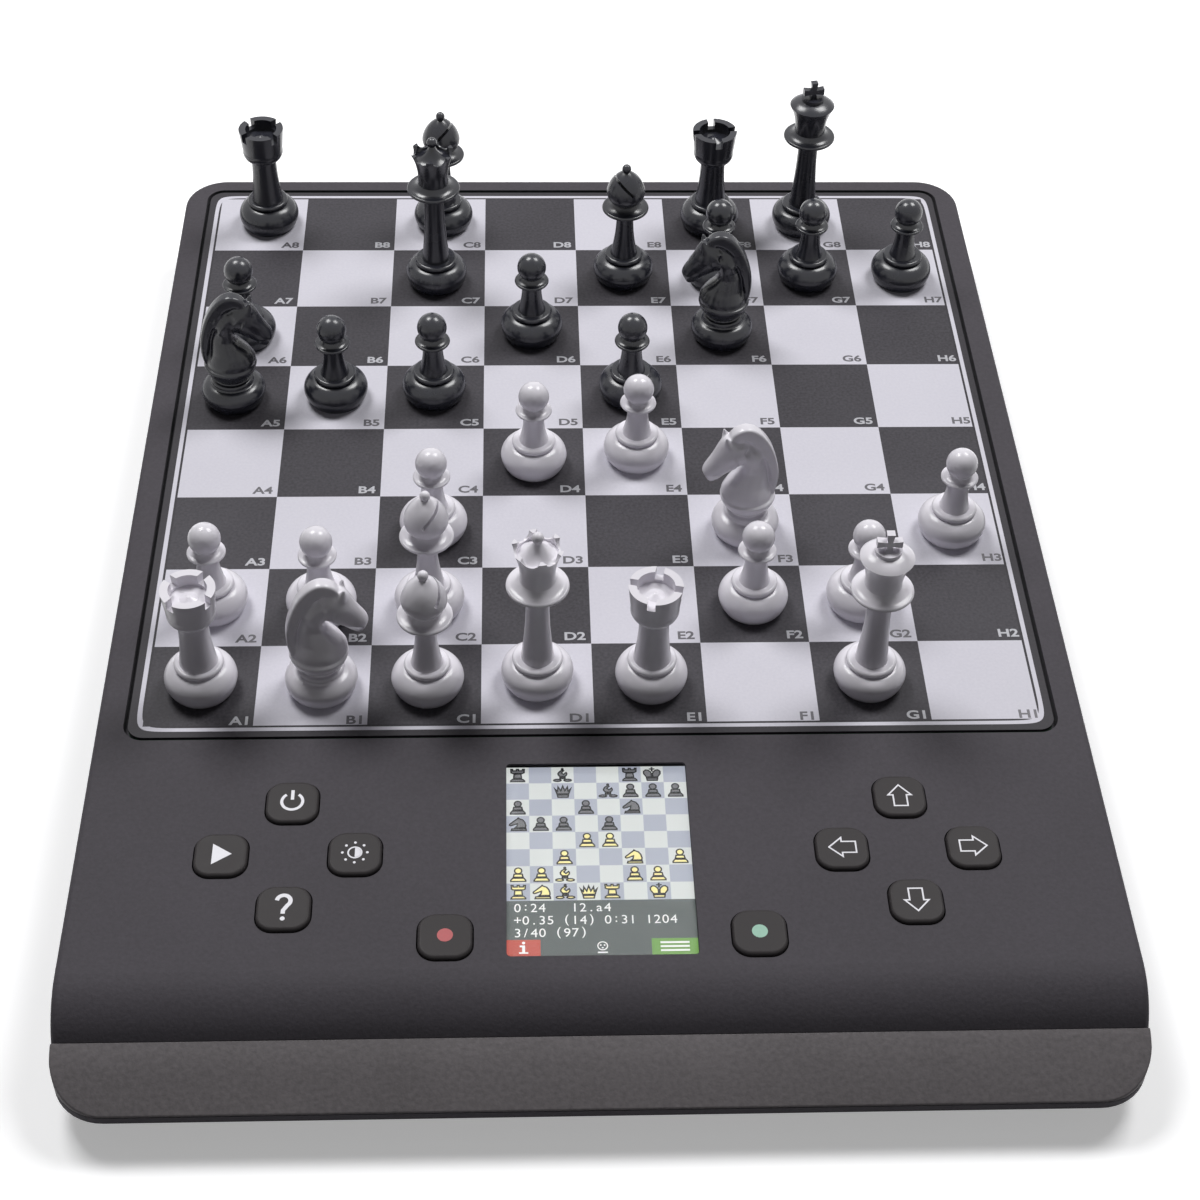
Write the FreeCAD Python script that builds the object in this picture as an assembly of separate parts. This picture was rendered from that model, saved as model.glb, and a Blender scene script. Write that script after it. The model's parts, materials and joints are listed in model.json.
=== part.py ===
import FreeCAD, Part

import math
import os

from FreeCAD import Placement, Rotation, Vector

# An electronic chess computer with its men set up for play.
# Millimetres, +Z up, +Y away from the player, +X towards the h file.
# The origin is on the table, under the middle of the case.

# Playing board
SQUARE = 27.0
SQUARES = 8
PRINT_MARGIN = 2.5
GROOVE = 1.0
OVERLAY_THICKNESS = 0.8
SENSOR_THICKNESS = 1.2
BOARD_DROP = 0.2
RECESS_CORNER = 5.0
RECESS_FLOOR = 1.8

# Case
SIDE_RIM = 6.5
REAR_RIM = 5.5
CASE_CORNER = 12.0
DECK_HEIGHT = 24.0
DECK_EDGE = 1.6
DECK_WALL = 2.4
WALL = 2.2
PARTING_HEIGHT = 10.0
LIP_HEIGHT = 2.0
STANDOFF = 2.0
BASE_FLOOR = 2.2
UNDERCUT_SLOPE = 1.0
TONGUE_WIDTH = 1.2
TONGUE_HEIGHT = 1.6
FIT = 0.2

# Rolled front edge and the paler trim below it
ROLL_RADIUS = 15.0
ROLL_ANGLE = 58.0
TRIM_DEPTH = 14.3
TRIM_NOSE = 0.6
TRIM_WALL = 2.4

# Control panel: screen window and keys
PANEL_GAP = 8.35
FRONT_MARGIN = 30.05
WINDOW_WIDTH = 42.0
WINDOW_LENGTH = 54.6
WINDOW_CORNER = 1.0
WINDOW_RIM = 0.6
LENS_BORDER = 2.0
DISPLAY_BORDER_X = 3.8
DISPLAY_BORDER_Y = 2.7
KEY_SIZE = 12.0
KEY_CORNER = 4.0
KEY_PROUD = 1.0
KEY_EDGE = 0.8
KEY_GAP = 0.3
KEY_FLANGE = 1.5
KEY_FLANGE_THICKNESS = 1.0
DOME_HEIGHT = 2.0
DOME_RADIUS = 5.0
DOME_TOP_RADIUS = 3.4
MAT_THICKNESS = 0.8
MAT_MARGIN = 0.8
PAD_X = 70.0
PAD_PITCH = 15.0
PAD_SHIFT = 0.85
SIDE_KEY_X = 34.4
SIDE_KEY_SHIFT = -22.15

# Circuit boards, their posts and the flat cable
CIRCUIT_THICKNESS = 1.6
POST_RADIUS = 2.6
STAKE_RADIUS = 1.2
STAKE_FIT = 0.15
STAKE_HEAD = 0.8
POST_MARGIN = 5.2
POST_SHIFT = 26.0
KEY_CIRCUIT_MARGIN = 5.0
MAIN_CIRCUIT_INSET = 18.0
MAIN_CIRCUIT_WIDTH = 70.0
MAIN_CIRCUIT_LENGTH = 122.0
MAIN_CIRCUIT_SETBACK = 8.0
MAIN_POST_HEIGHT = 4.2
MAIN_POST_INSET = 6.0
CHIP = 14.0
CHIP_SHIFT = 38.0
CHIP_HEIGHT = 1.4
SMALL_CHIP = 9.0
SMALL_CHIP_SHIFT = 14.0
SMALL_CHIP_HEIGHT = 1.1
CAPACITOR_RADIUS = 2.4
CAPACITOR_HEIGHT = 6.0
CAPACITOR_SPREAD = 18.0
BOSS_ROOM = 0.4
CONNECTOR_WIDTH = 18.0
CONNECTOR_DEPTH = 5.0
CONNECTOR_HEIGHT = 3.0
CABLE_WIDTH = 14.0
CABLE_THICKNESS = 0.4
CABLE_BEND = 12.0
TAIL_SETBACK = 48.0

# Power socket in the rear wall
JACK_WIDTH = 9.0
JACK_DEPTH = 13.0
JACK_HEIGHT = 9.0
JACK_COLLAR_RADIUS = 4.0
JACK_BORE_RADIUS = 2.75
JACK_BORE_DEPTH = 9.5
JACK_PIN_RADIUS = 1.05
JACK_PIN_SHORT = 1.2

# Battery bay, cells and door
CELLS = 4
CELL_RADIUS = 5.25
CELL_LENGTH = 43.7
CELL_NUB_RADIUS = 1.9
CELL_NUB_LENGTH = 0.8
CELL_PITCH = 10.9
CELL_CLEAR = 0.5
CONTACT_DEPTH = 2.6
CONTACT_THICKNESS = 0.5
CONTACT_HEIGHT = 8.0
BAY_X = 42.0
BAY_SHIFT = 21.75
BAY_WALL = 1.4
HINGE_ROOM = 6.5
DOOR_GAP = 0.3
DOOR_TAB_WIDTH = 8.0
DOOR_TAB_REACH = 3.0
DOOR_TAB_THICKNESS = 1.5
DOOR_TAB_SPREAD = 30.0
DOOR_TAB_ROOM = 0.8
LATCH_WIDTH = 14.0
LATCH_SLOT = 1.0
LATCH_LENGTH = 9.0
GRIP_GROOVES = 3
GRIP_LENGTH = 9.4
GRIP_DEPTH = 0.55

# Speaker over its grille
SPEAKER_INSET_X = 63.0
SPEAKER_INSET_Y = 52.75
SPEAKER_RADIUS = 20.0
SPEAKER_FLANGE = 1.2
SPEAKER_BASKET = 4.0
SPEAKER_MAGNET_RADIUS = 9.5
SPEAKER_MAGNET = 4.0
SPEAKER_CONE_RADIUS = 16.0
SPEAKER_RING = 1.4
SPEAKER_RING_HEIGHT = 3.0
GRILLE_PITCH = 4.0
GRILLE_SLOT = 1.6
GRILLE_ROWS = 7

# Feet and screws
FOOT_PAD_RADIUS = 7.0
FOOT_PAD_RECESS = 0.8
FOOT_PAD_INSET_X = 20.0
FOOT_PAD_INSET_Y = 22.75
SCREW_HEAD_RADIUS = 2.5
SCREW_HEAD = 1.8
SCREW_RADIUS = 1.25
SCREW_LENGTH = 12.0
SCREW_FIT = 0.15
SCREW_HOLE_FIT = 0.05
SCREW_SEAT = 5.0
BOSS_RADIUS = 4.2
COVER_BOSS_RADIUS = 3.4
BOSS_INSET = 11.0
BOSS_REAR_INSET = 13.75
BOSS_MIDDLE_SHIFT = 25.75
BOSS_FRONT_SHIFT = 8.6
BOSS_CENTRE_SHIFT = 8.95

# Chess men: the shared foot, then each kind's own turning
FOOT_RADIUS = 8.75
FOOT_UNDER_RADIUS = 7.4
FOOT_WIDEST = 3.5
FOOT_DOME = 1.0
RING_HEIGHT = 1.4

PAWN_FOOT = 7.4
PAWN_RING = 5.2
PAWN_STEM_LOW = 3.9
PAWN_STEM_TOP = 2.75
PAWN_STEM = 8.6
PAWN_COLLAR = 4.75
PAWN_COLLAR_HEIGHT = 1.7
PAWN_NECK = 2.6
PAWN_NECK_HEIGHT = 1.1
PAWN_BALL = 4.0

ROOK_FOOT = 7.7
ROOK_RING = 5.4
ROOK_STEM_LOW = 4.6
ROOK_STEM_TOP = 3.6
ROOK_STEM = 14.2
ROOK_CUP_BASE = 4.5
ROOK_CUP_LOW = 5.75
ROOK_CUP_TOP = 6.45
ROOK_CUP_ROUND = 3.0
ROOK_CUP_SWELL = 0.5
ROOK_CUP_HEIGHT = 9.8
ROOK_BORE = 4.5
ROOK_BORE_DEPTH = 3.2
ROOK_BORE_DOME = 1.0
ROOK_NOTCHES = 4
ROOK_NOTCH_WIDTH = 2.0
ROOK_NOTCH_DEPTH = 2.4

BISHOP_FOOT = 7.3
BISHOP_RING = 5.0
BISHOP_STEM_LOW = 3.9
BISHOP_STEM_TOP = 2.45
BISHOP_STEM = 14.2
BISHOP_COLLAR = 6.65
BISHOP_COLLAR_HEIGHT = 2.0
BISHOP_NECK = 3.3
BISHOP_NECK_HEIGHT = 1.4
BISHOP_HEAD = 5.45
BISHOP_HEAD_LOW = 4.0
BISHOP_HEAD_TOP = 6.2
BISHOP_HEAD_ROUND = 0.67
BISHOP_HEAD_SWELL = 0.89
BISHOP_TIP = 0.9
BISHOP_BALL = 1.3
BISHOP_SLOT = 0.8
BISHOP_SLOT_TILT = 45.0
BISHOP_SLOT_RISE = 1.5
BISHOP_SLOT_START = 0.9

QUEEN_FOOT = 7.2
QUEEN_RING = 5.55
QUEEN_STEM_LOW = 4.0
QUEEN_STEM_TOP = 2.8
QUEEN_STEM = 22.4
QUEEN_COLLAR = 7.45
QUEEN_COLLAR_HEIGHT = 2.0
QUEEN_NECK = 4.3
QUEEN_NECK_HEIGHT = 1.6
QUEEN_CROWN = 6.1
QUEEN_CROWN_HEIGHT = 10.0
QUEEN_CROWN_FLARE = 0.71
QUEEN_CROWN_HOLLOW = 2.2
QUEEN_CROWN_WALL = 1.2
QUEEN_POINTS = 6
QUEEN_SCALLOP = 2.3
QUEEN_SCALLOP_RISE = 0.6
QUEEN_CONE = 4.0
QUEEN_CONE_FLARE = 0.72
QUEEN_CONE_TIP = 0.87
QUEEN_BALL = 1.45

KING_FOOT = 6.9
KING_RING = 5.55
KING_STEM_LOW = 4.0
KING_STEM_TOP = 2.9
KING_STEM = 21.6
KING_COLLAR = 7.45
KING_COLLAR_HEIGHT = 2.0
KING_NECK = 4.4
KING_NECK_HEIGHT = 1.5
KING_CROWN = 6.4
KING_CROWN_HEIGHT = 8.6
KING_CROWN_FLARE = 0.61
KING_DOME = 1.6
KING_DOME_ROUND = 0.27
KING_CAP = 3.15
KING_CAP_HEIGHT = 1.0
KING_CROSS_HEIGHT = 4.9
KING_CROSS_WIDTH = 5.9
KING_CROSS_ARM = 1.9
KING_CROSS_WAIST = 1.2
KING_CROSS_DEPTH = 1.8

KNIGHT_FOOT = 6.6
KNIGHT_RING = 5.2
KNIGHT_WAIST = 4.6
KNIGHT_BOWL = 7.0
KNIGHT_BOWL_HEIGHT = 5.0
KNIGHT_BOWL_EDGE = 0.9
KNIGHT_BOWL_SWELL = 0.42
KNIGHT_MANE_WIDTH = 3.6
KNIGHT_MANE_ROUND = 0.7
KNIGHT_POLL = 2.75
KNIGHT_POLL_FORWARD = 3.5
KNIGHT_POLL_RISE = 16.2
KNIGHT_EAR = 3.2
KNIGHT_EAR_RADIUS = 1.4
KNIGHT_EAR_TIP = 0.3
KNIGHT_EAR_FORWARD = 6.2
KNIGHT_EAR_RISE = 17.2
KNIGHT_EAR_SPREAD = 1.5
KNIGHT_EAR_LEAN = (0.3, 0.12)

# Ovals across the knight's neck and head, which looks along +X: forward of the axis, up from the bowl,
# half of its length, half of its width, and its lean from level in degrees
KNIGHT_NECK = [
    (0.0, -0.6, 6.4, 6.4, 0),
    (0.2, 3.4, 5.9, 5.7, -2),
    (-1.2, 8.2, 4.0, 4.4, -18),
    (-0.6, 12.4, 3.9, 3.4, -48),
    (2.6, 16.2, 3.5, 2.8, -82),
]
KNIGHT_HEAD = [
    (2.5, 15.3, 4.1, 3.0, 61),
    (5.1, 14.1, 4.9, 3.3, 59),
    (7.9, 10.8, 3.6, 2.6, 56),
    (10.2, 8.0, 2.9, 2.3, 57),
    (11.3, 6.8, 2.0, 1.6, 59),
]

# The mane's edge in the air, then its edge in the neck, from the ears down: forward of the axis and up
KNIGHT_MANE = [(6.0, 18.4), (4.8, 20.8), (1.6, 22.0), (-2.8, 19.2), (-6.0, 13.0), (-7.4, 5.6), (-6.6, 0.0)]
KNIGHT_MANE_ROOT = [(5.0, 16.8), (1.8, 17.4), (-1.6, 15.0), (-3.6, 10.6), (-4.8, 5.2), (-4.8, 0.0)]

# The men on the board: colour, kind, square, shift right and to the rear of the square's centre, and turn
MEN = [
    ("white", "pawn", "a2", 0.7, 0.5, 0),
    ("white", "pawn", "b2", 0.7, -0.9, 0),
    ("white", "pawn", "c3", 0.9, 0.4, 0),
    ("white", "pawn", "d4", 0.0, -0.8, 0),
    ("white", "pawn", "e4", 0.5, 2.1, 0),
    ("white", "pawn", "f2", 0.4, -0.1, 0),
    ("white", "pawn", "g2", 0.6, 0.1, 0),
    ("white", "pawn", "h3", 0.3, -0.6, 0),
    ("white", "rook", "a1", 0.4, 0.4, 53),
    ("white", "knight", "b1", 2.2, 0.0, 8),
    ("white", "bishop", "c1", 0.7, -0.2, 40),
    ("white", "queen", "d1", 0.1, 1.5, 40),
    ("white", "rook", "e1", 0.6, 0.4, -13),
    ("white", "king", "g1", -0.4, 0.4, 0),
    ("white", "bishop", "c2", 0.5, -0.2, 0),
    ("white", "knight", "f3", 0.5, 0.3, 186),
    ("black", "rook", "a8", 2.8, 0.5, 42),
    ("black", "bishop", "c8", 1.0, 0.3, -15),
    ("black", "rook", "f8", 0.1, -0.4, 9),
    ("black", "king", "g8", 0.9, -0.5, 8),
    ("black", "queen", "c7", -0.5, -1.4, 25),
    ("black", "bishop", "e7", 0.1, 0.8, 195),
    ("black", "pawn", "f7", 0.3, -0.4, 0),
    ("black", "pawn", "g7", 0.2, -0.2, 0),
    ("black", "pawn", "h7", 0.8, -0.2, 0),
    ("black", "pawn", "a6", 0.0, -0.6, 0),
    ("black", "pawn", "d6", 0.0, 0.9, 0),
    ("black", "pawn", "b5", 0.0, 0.3, 0),
    ("black", "pawn", "c5", -0.1, 1.2, 0),
    ("black", "pawn", "e5", 0.0, 1.0, 0),
    ("black", "knight", "f6", 0.1, -0.2, 174),
    ("black", "knight", "a5", -0.9, -0.2, 4),
]

# Places worked out from the driving sizes
BOARD_HALF = SQUARES * SQUARE / 2
OVERLAY_HALF = BOARD_HALF + PRINT_MARGIN
RECESS_HALF = OVERLAY_HALF + GROOVE
CASE_WIDTH = 2 * (RECESS_HALF + SIDE_RIM)
CASE_DEPTH = REAR_RIM + 2 * RECESS_HALF + PANEL_GAP + WINDOW_LENGTH + FRONT_MARGIN
HALF_WIDTH = CASE_WIDTH / 2
REAR = CASE_DEPTH / 2
FRONT = -REAR
BOARD_Y = REAR - REAR_RIM - RECESS_HALF
OVERLAY_TOP = DECK_HEIGHT - BOARD_DROP
SENSOR_TOP = OVERLAY_TOP - OVERLAY_THICKNESS
RECESS_BOTTOM = SENSOR_TOP - SENSOR_THICKNESS
CEILING = RECESS_BOTTOM - RECESS_FLOOR
DECK_UNDER = DECK_HEIGHT - DECK_WALL
STEP_Y = BOARD_Y - RECESS_HALF - WALL
LIP_BOTTOM = PARTING_HEIGHT - LIP_HEIGHT
UNDERCUT = (LIP_BOTTOM - STANDOFF) * UNDERCUT_SLOPE
FLOOR_TOP = STANDOFF + BASE_FLOOR
LIP_WALL = WALL + FIT + TONGUE_WIDTH

ROLL_TURN = math.radians(ROLL_ANGLE)
CREASE_Y = FRONT + TRIM_DEPTH
ROLL_Y = CREASE_Y + ROLL_RADIUS * math.sin(ROLL_TURN)
ROLL_Z = DECK_HEIGHT - ROLL_RADIUS
CREASE_Z = ROLL_Z + ROLL_RADIUS * math.cos(ROLL_TURN)
NOSE_TOP = PARTING_HEIGHT + TRIM_NOSE

PANEL_Y = FRONT + FRONT_MARGIN + WINDOW_LENGTH / 2
LENS_TOP = DECK_HEIGHT - WINDOW_RIM
FLANGE_BOTTOM = DECK_UNDER - KEY_FLANGE_THICKNESS
MAT_TOP = FLANGE_BOTTOM - DOME_HEIGHT
KEY_CIRCUIT_TOP = MAT_TOP - MAT_THICKNESS
KEY_CIRCUIT_BOTTOM = KEY_CIRCUIT_TOP - CIRCUIT_THICKNESS
KEY_REACH = KEY_SIZE / 2 + KEY_FLANGE
POST_X = PAD_X + PAD_PITCH + KEY_REACH + POST_MARGIN
KEY_CIRCUIT_HALF_WIDTH = POST_X + KEY_CIRCUIT_MARGIN
KEY_CIRCUIT_HALF_LENGTH = POST_SHIFT + KEY_CIRCUIT_MARGIN

MAIN_CIRCUIT_X = MAIN_CIRCUIT_INSET + MAIN_CIRCUIT_WIDTH / 2 - HALF_WIDTH
MAIN_BOTTOM = FLOOR_TOP + MAIN_POST_HEIGHT
MAIN_TOP = MAIN_BOTTOM + CIRCUIT_THICKNESS
MAIN_REAR = REAR - WALL - MAIN_CIRCUIT_SETBACK
MAIN_FRONT = MAIN_REAR - MAIN_CIRCUIT_LENGTH
JACK_X = MAIN_CIRCUIT_X
JACK_Z = MAIN_TOP + JACK_HEIGHT / 2
JACK_FACE = REAR - WALL - FIT

BAY_LENGTH = CELL_LENGTH + CELL_NUB_LENGTH + 2 * CONTACT_DEPTH
BAY_WIDTH = CELLS * CELL_PITCH + HINGE_ROOM
BAY_LEFT = BAY_X - BAY_LENGTH / 2
BAY_FRONT = BOARD_Y - BAY_SHIFT - BAY_WIDTH / 2
BAY_TOP = FLOOR_TOP + 2 * CELL_CLEAR + 2 * CELL_RADIUS
CELL_Z = FLOOR_TOP + CELL_CLEAR + CELL_RADIUS
HINGE_RADIUS = BASE_FLOOR / 2
HINGE_Y = BAY_FRONT + DOOR_GAP + HINGE_RADIUS
HINGE_Z = STANDOFF + HINGE_RADIUS
TAB_LOW = FLOOR_TOP + DOOR_TAB_ROOM / 2
TAB_HIGH = TAB_LOW + DOOR_TAB_THICKNESS
SPEAKER_X = HALF_WIDTH - SPEAKER_INSET_X
SPEAKER_Y = REAR - SPEAKER_INSET_Y

FOOT_PAD_X = HALF_WIDTH - FOOT_PAD_INSET_X
FOOT_PAD_Y = REAR - FOOT_PAD_INSET_Y
FEET = [(x, y) for x in (-FOOT_PAD_X, FOOT_PAD_X) for y in (-FOOT_PAD_Y, FOOT_PAD_Y)]
BOSS_X = HALF_WIDTH - BOSS_INSET
BOSS_ROWS = (PANEL_Y - BOSS_FRONT_SHIFT, BOARD_Y - BOSS_MIDDLE_SHIFT, REAR - BOSS_REAR_INSET)
BOSSES = [(x, y) for x in (-BOSS_X, BOSS_X) for y in BOSS_ROWS]
BOSSES += [(0.0, STEP_Y + BOSS_CENTRE_SHIFT), (0.0, REAR - BOSS_REAR_INSET)]
POSTS = [(x, PANEL_Y + y) for x in (-POST_X, POST_X) for y in (-POST_SHIFT, POST_SHIFT)]
MAIN_POSTS = [
    (MAIN_CIRCUIT_X + x * (MAIN_CIRCUIT_WIDTH / 2 - MAIN_POST_INSET), y)
    for x in (-1, 1)
    for y in (MAIN_FRONT + MAIN_POST_INSET, MAIN_REAR - MAIN_POST_INSET)
]
KEYS = {
    "key_power": (-PAD_X, PAD_SHIFT + PAD_PITCH),
    "key_play": (-PAD_X - PAD_PITCH, PAD_SHIFT),
    "key_backlight": (-PAD_X + PAD_PITCH, PAD_SHIFT),
    "key_help": (-PAD_X, PAD_SHIFT - PAD_PITCH),
    "key_red": (-SIDE_KEY_X, SIDE_KEY_SHIFT),
    "key_up": (PAD_X, PAD_SHIFT + PAD_PITCH),
    "key_left": (PAD_X - PAD_PITCH, PAD_SHIFT),
    "key_right": (PAD_X + PAD_PITCH, PAD_SHIFT),
    "key_down": (PAD_X, PAD_SHIFT - PAD_PITCH),
    "key_green": (SIDE_KEY_X, SIDE_KEY_SHIFT),
}


# Shape helpers


def rounded(x_low, x_high, y_low, y_high, radius, z):
    """A flat face at height z, a rectangle with round corners."""
    quarter = math.sqrt(0.5) * radius
    corners = [
        (x_high - radius, y_low + radius, 1, -1),
        (x_high - radius, y_high - radius, 1, 1),
        (x_low + radius, y_high - radius, -1, 1),
        (x_low + radius, y_low + radius, -1, -1),
    ]
    arcs = []
    for x, y, side, end in corners:
        along_x = Vector(x + side * radius, y, z)
        along_y = Vector(x, y + end * radius, z)
        middle = Vector(x + side * quarter, y + end * quarter, z)
        pair = (along_x, along_y) if side == end else (along_y, along_x)
        arcs.append(Part.Arc(pair[0], middle, pair[1]).toShape())
    edges = []
    for arc, following in zip(arcs, arcs[1:] + arcs[:1]):
        edges.append(arc)
        start, end = arc.valueAt(arc.LastParameter), following.valueAt(following.FirstParameter)
        if start.distanceToPoint(end) > 1e-6:
            edges.append(Part.makeLine(start, end))
    return Part.Face(Part.Wire(edges))


def slab(x_low, x_high, y_low, y_high, radius, z_low, z_high):
    """A plate with round upright corners."""
    return rounded(x_low, x_high, y_low, y_high, radius, z_low).extrude(Vector(0, 0, z_high - z_low))


def centred(x, y, width, length, radius, z_low, z_high):
    """A plate with round upright corners about a centre."""
    return slab(x - width / 2, x + width / 2, y - length / 2, y + length / 2, radius, z_low, z_high)


def block(x_low, x_high, y_low, y_high, z_low, z_high):
    """A plain box between two corners."""
    return Part.makeBox(x_high - x_low, y_high - y_low, z_high - z_low, Vector(x_low, y_low, z_low))


def drum(x, y, radius, z_low, z_high):
    """An upright cylinder."""
    return Part.makeCylinder(radius, z_high - z_low, Vector(x, y, z_low))


def case_face(inset, z):
    """The case's plan outline, drawn in by an inset."""
    half = HALF_WIDTH - inset
    return rounded(-half, half, FRONT + inset, REAR - inset, CASE_CORNER - inset, z)


def case_slab(inset, z_low, z_high):
    """The case's plan outline as a solid between two heights."""
    return case_face(inset, z_low).extrude(Vector(0, 0, z_high - z_low))


def flared(low_inset, z_low, high_inset, z_high):
    """The case's plan outline, widening or narrowing evenly between two heights."""
    wires = [case_face(low_inset, z_low).OuterWire, case_face(high_inset, z_high).OuterWire]
    return Part.makeLoft(wires, True, True)


def across(edges):
    """A closed side profile carried across the whole width of the case."""
    face = Part.Face(Part.Wire(edges))
    face.translate(Vector(-CASE_WIDTH, 0, 0))
    return face.extrude(Vector(2 * CASE_WIDTH, 0, 0))


def side_lines(points):
    """Straight edges through points of the side view."""
    places = [Vector(0, y, z) for y, z in points]
    return [Part.makeLine(a, b) for a, b in zip(places, places[1:])]


def roll_arc(radius, y_end):
    """The front roll's edge in the side view, down from the deck to y_end, and its last height."""
    turn = math.asin((ROLL_Y - y_end) / radius)
    places = []
    for angle in (0.0, turn / 2, turn):
        places.append(Vector(0, ROLL_Y - radius * math.sin(angle), ROLL_Z + radius * math.cos(angle)))
    return Part.Arc(*places).toShape(), places[2].z


def joined(shapes):
    """One solid from several that touch or cross."""
    return shapes[0].fuse(shapes[1:]).removeSplitter()


class Turning:
    """Half of an outline, as radius and height, drawn upwards and turned about the upright axis."""

    def __init__(self):
        self.here = (0.0, 0.0)
        self.edges = []

    def line(self, radius, height):
        """A straight stretch to a radius and a height."""
        self.edges.append(Part.makeLine(self.place(self.here), self.place((radius, height))))
        self.here = (radius, height)

    def arc(self, radius, height, bulge):
        """A round stretch that swells out by bulge, or draws in where bulge is negative."""
        across_r, up = radius - self.here[0], height - self.here[1]
        span = math.hypot(across_r, up)
        middle_r = (radius + self.here[0]) / 2 + bulge * up / span
        middle_z = (height + self.here[1]) / 2 - bulge * across_r / span
        ends = self.place(self.here), self.place((radius, height))
        self.edges.append(Part.Arc(ends[0], self.place((middle_r, middle_z)), ends[1]).toShape())
        self.here = (radius, height)

    def up(self, radius, rise):
        """A straight stretch to a radius, higher by rise."""
        self.line(radius, self.here[1] + rise)

    def swell(self, radius, rise, bulge):
        """A round stretch to a radius, higher by rise."""
        self.arc(radius, self.here[1] + rise, bulge)

    def ball(self, radius):
        """A ball that rests on the last circle and closes on the axis."""
        centre = self.here[1] + math.sqrt(radius**2 - self.here[0] ** 2)
        side = self.place((radius, centre))
        top = (0.0, centre + radius)
        self.edges.append(Part.Arc(self.place(self.here), side, self.place(top)).toShape())
        self.here = top

    def solid(self):
        """The turned solid, closed along the axis."""
        if self.here[0] > 0:
            self.line(0.0, self.here[1])
        self.edges.append(Part.makeLine(self.place(self.here), Vector(0, 0, 0)))
        face = Part.Face(Part.Wire(self.edges))
        return face.revolve(Vector(0, 0, 0), Vector(0, 0, 1), 360)

    @staticmethod
    def place(point):
        return Vector(point[0], 0, point[1])


def save(node, shape):
    """Writes one named piece after seeing that its solids are sound."""
    solids = shape.Solids
    sound = bool(solids) and all(s.isValid() and s.Volume > 0 for s in solids)
    print(f"{node}: {len(solids)} solids, {shape.Volume:.1f} mm3, sound {sound}")
    shape.exportStep(f"parts/{node}.step")


# Case


def bottom_case():
    """The tray: an upright lip, undercut sides, a floor, the battery bay, bosses and a grille."""
    floor_inset = LIP_WALL + (LIP_BOTTOM - FLOOR_TOP) * UNDERCUT_SLOPE
    tray = flared(UNDERCUT, STANDOFF, 0, LIP_BOTTOM).fuse(case_slab(0, LIP_BOTTOM, PARTING_HEIGHT))
    hollow = flared(floor_inset, FLOOR_TOP, LIP_WALL, LIP_BOTTOM)
    tray = tray.cut(hollow.fuse(case_slab(LIP_WALL, LIP_BOTTOM, PARTING_HEIGHT)))
    adds = [tongue(), bay_walls()]
    cuts = [bay_room(), door_room()]
    for x, y in BOSSES:
        adds.append(drum(x, y, BOSS_RADIUS, STANDOFF, PARTING_HEIGHT))
        cuts.append(drum(x, y, SCREW_HEAD_RADIUS + SCREW_FIT, 0, SCREW_SEAT))
        cuts.append(drum(x, y, SCREW_RADIUS + SCREW_FIT, 0, DECK_HEIGHT))
    for x, y in MAIN_POSTS:
        adds.append(drum(x, y, POST_RADIUS, STANDOFF + BASE_FLOOR / 2, MAIN_BOTTOM))
        adds.append(drum(x, y, STAKE_RADIUS, MAIN_BOTTOM, MAIN_TOP + STAKE_HEAD))
    seat = SPEAKER_RADIUS + FIT
    ring = drum(SPEAKER_X, SPEAKER_Y, seat + SPEAKER_RING, STANDOFF, FLOOR_TOP + SPEAKER_RING_HEIGHT)
    adds.append(ring.cut(drum(SPEAKER_X, SPEAKER_Y, seat, 0, DECK_HEIGHT)))
    cuts += grille_slots()
    for x, y in FEET:
        cuts.append(drum(x, y, FOOT_PAD_RADIUS, 0, STANDOFF + FOOT_PAD_RECESS))
    return tray.fuse(adds).cut(cuts).removeSplitter()


def tongue():
    """The thin wall that stands inside the cover, with gaps at the front and at the power socket."""
    wall = case_slab(WALL + FIT, LIP_BOTTOM, PARTING_HEIGHT + TONGUE_HEIGHT)
    wall = wall.cut(case_slab(LIP_WALL, 0, DECK_HEIGHT))
    wall = wall.common(block(-HALF_WIDTH, HALF_WIDTH, CREASE_Y + 2 * WALL, REAR, 0, DECK_HEIGHT))
    half = JACK_WIDTH / 2 + FIT
    return wall.cut(block(JACK_X - half, JACK_X + half, BOARD_Y, REAR, PARTING_HEIGHT, DECK_HEIGHT))


def grille_slots():
    """Slots through the floor under the speaker, shortened to a round field."""
    field = SPEAKER_CONE_RADIUS - GRILLE_SLOT
    slots = []
    for row in range(GRILLE_ROWS):
        shift = (row - (GRILLE_ROWS - 1) / 2) * GRILLE_PITCH
        half = math.sqrt(max(field**2 - shift**2, GRILLE_SLOT**2))
        low = SPEAKER_Y + shift - GRILLE_SLOT / 2
        slots.append(block(SPEAKER_X - half, SPEAKER_X + half, low, low + GRILLE_SLOT, 0, FLOOR_TOP))
    return slots


def bay_walls():
    """The walls and roof round the cells, standing on the floor."""
    outer = block(
        BAY_LEFT - BAY_WALL,
        BAY_LEFT + BAY_LENGTH + BAY_WALL,
        BAY_FRONT - BAY_WALL,
        BAY_FRONT + BAY_WIDTH + BAY_WALL,
        STANDOFF,
        BAY_TOP + BAY_WALL,
    )
    return outer.cut(bay_room())


def bay_room():
    """The room that the cells go into, open through the floor."""
    return block(BAY_LEFT, BAY_LEFT + BAY_LENGTH, BAY_FRONT, BAY_FRONT + BAY_WIDTH, 0, BAY_TOP)


def door_tabs():
    """The places of the two hinge tabs along the door's front edge."""
    return [BAY_X - DOOR_TAB_SPREAD / 2, BAY_X + DOOR_TAB_SPREAD / 2]


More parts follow.
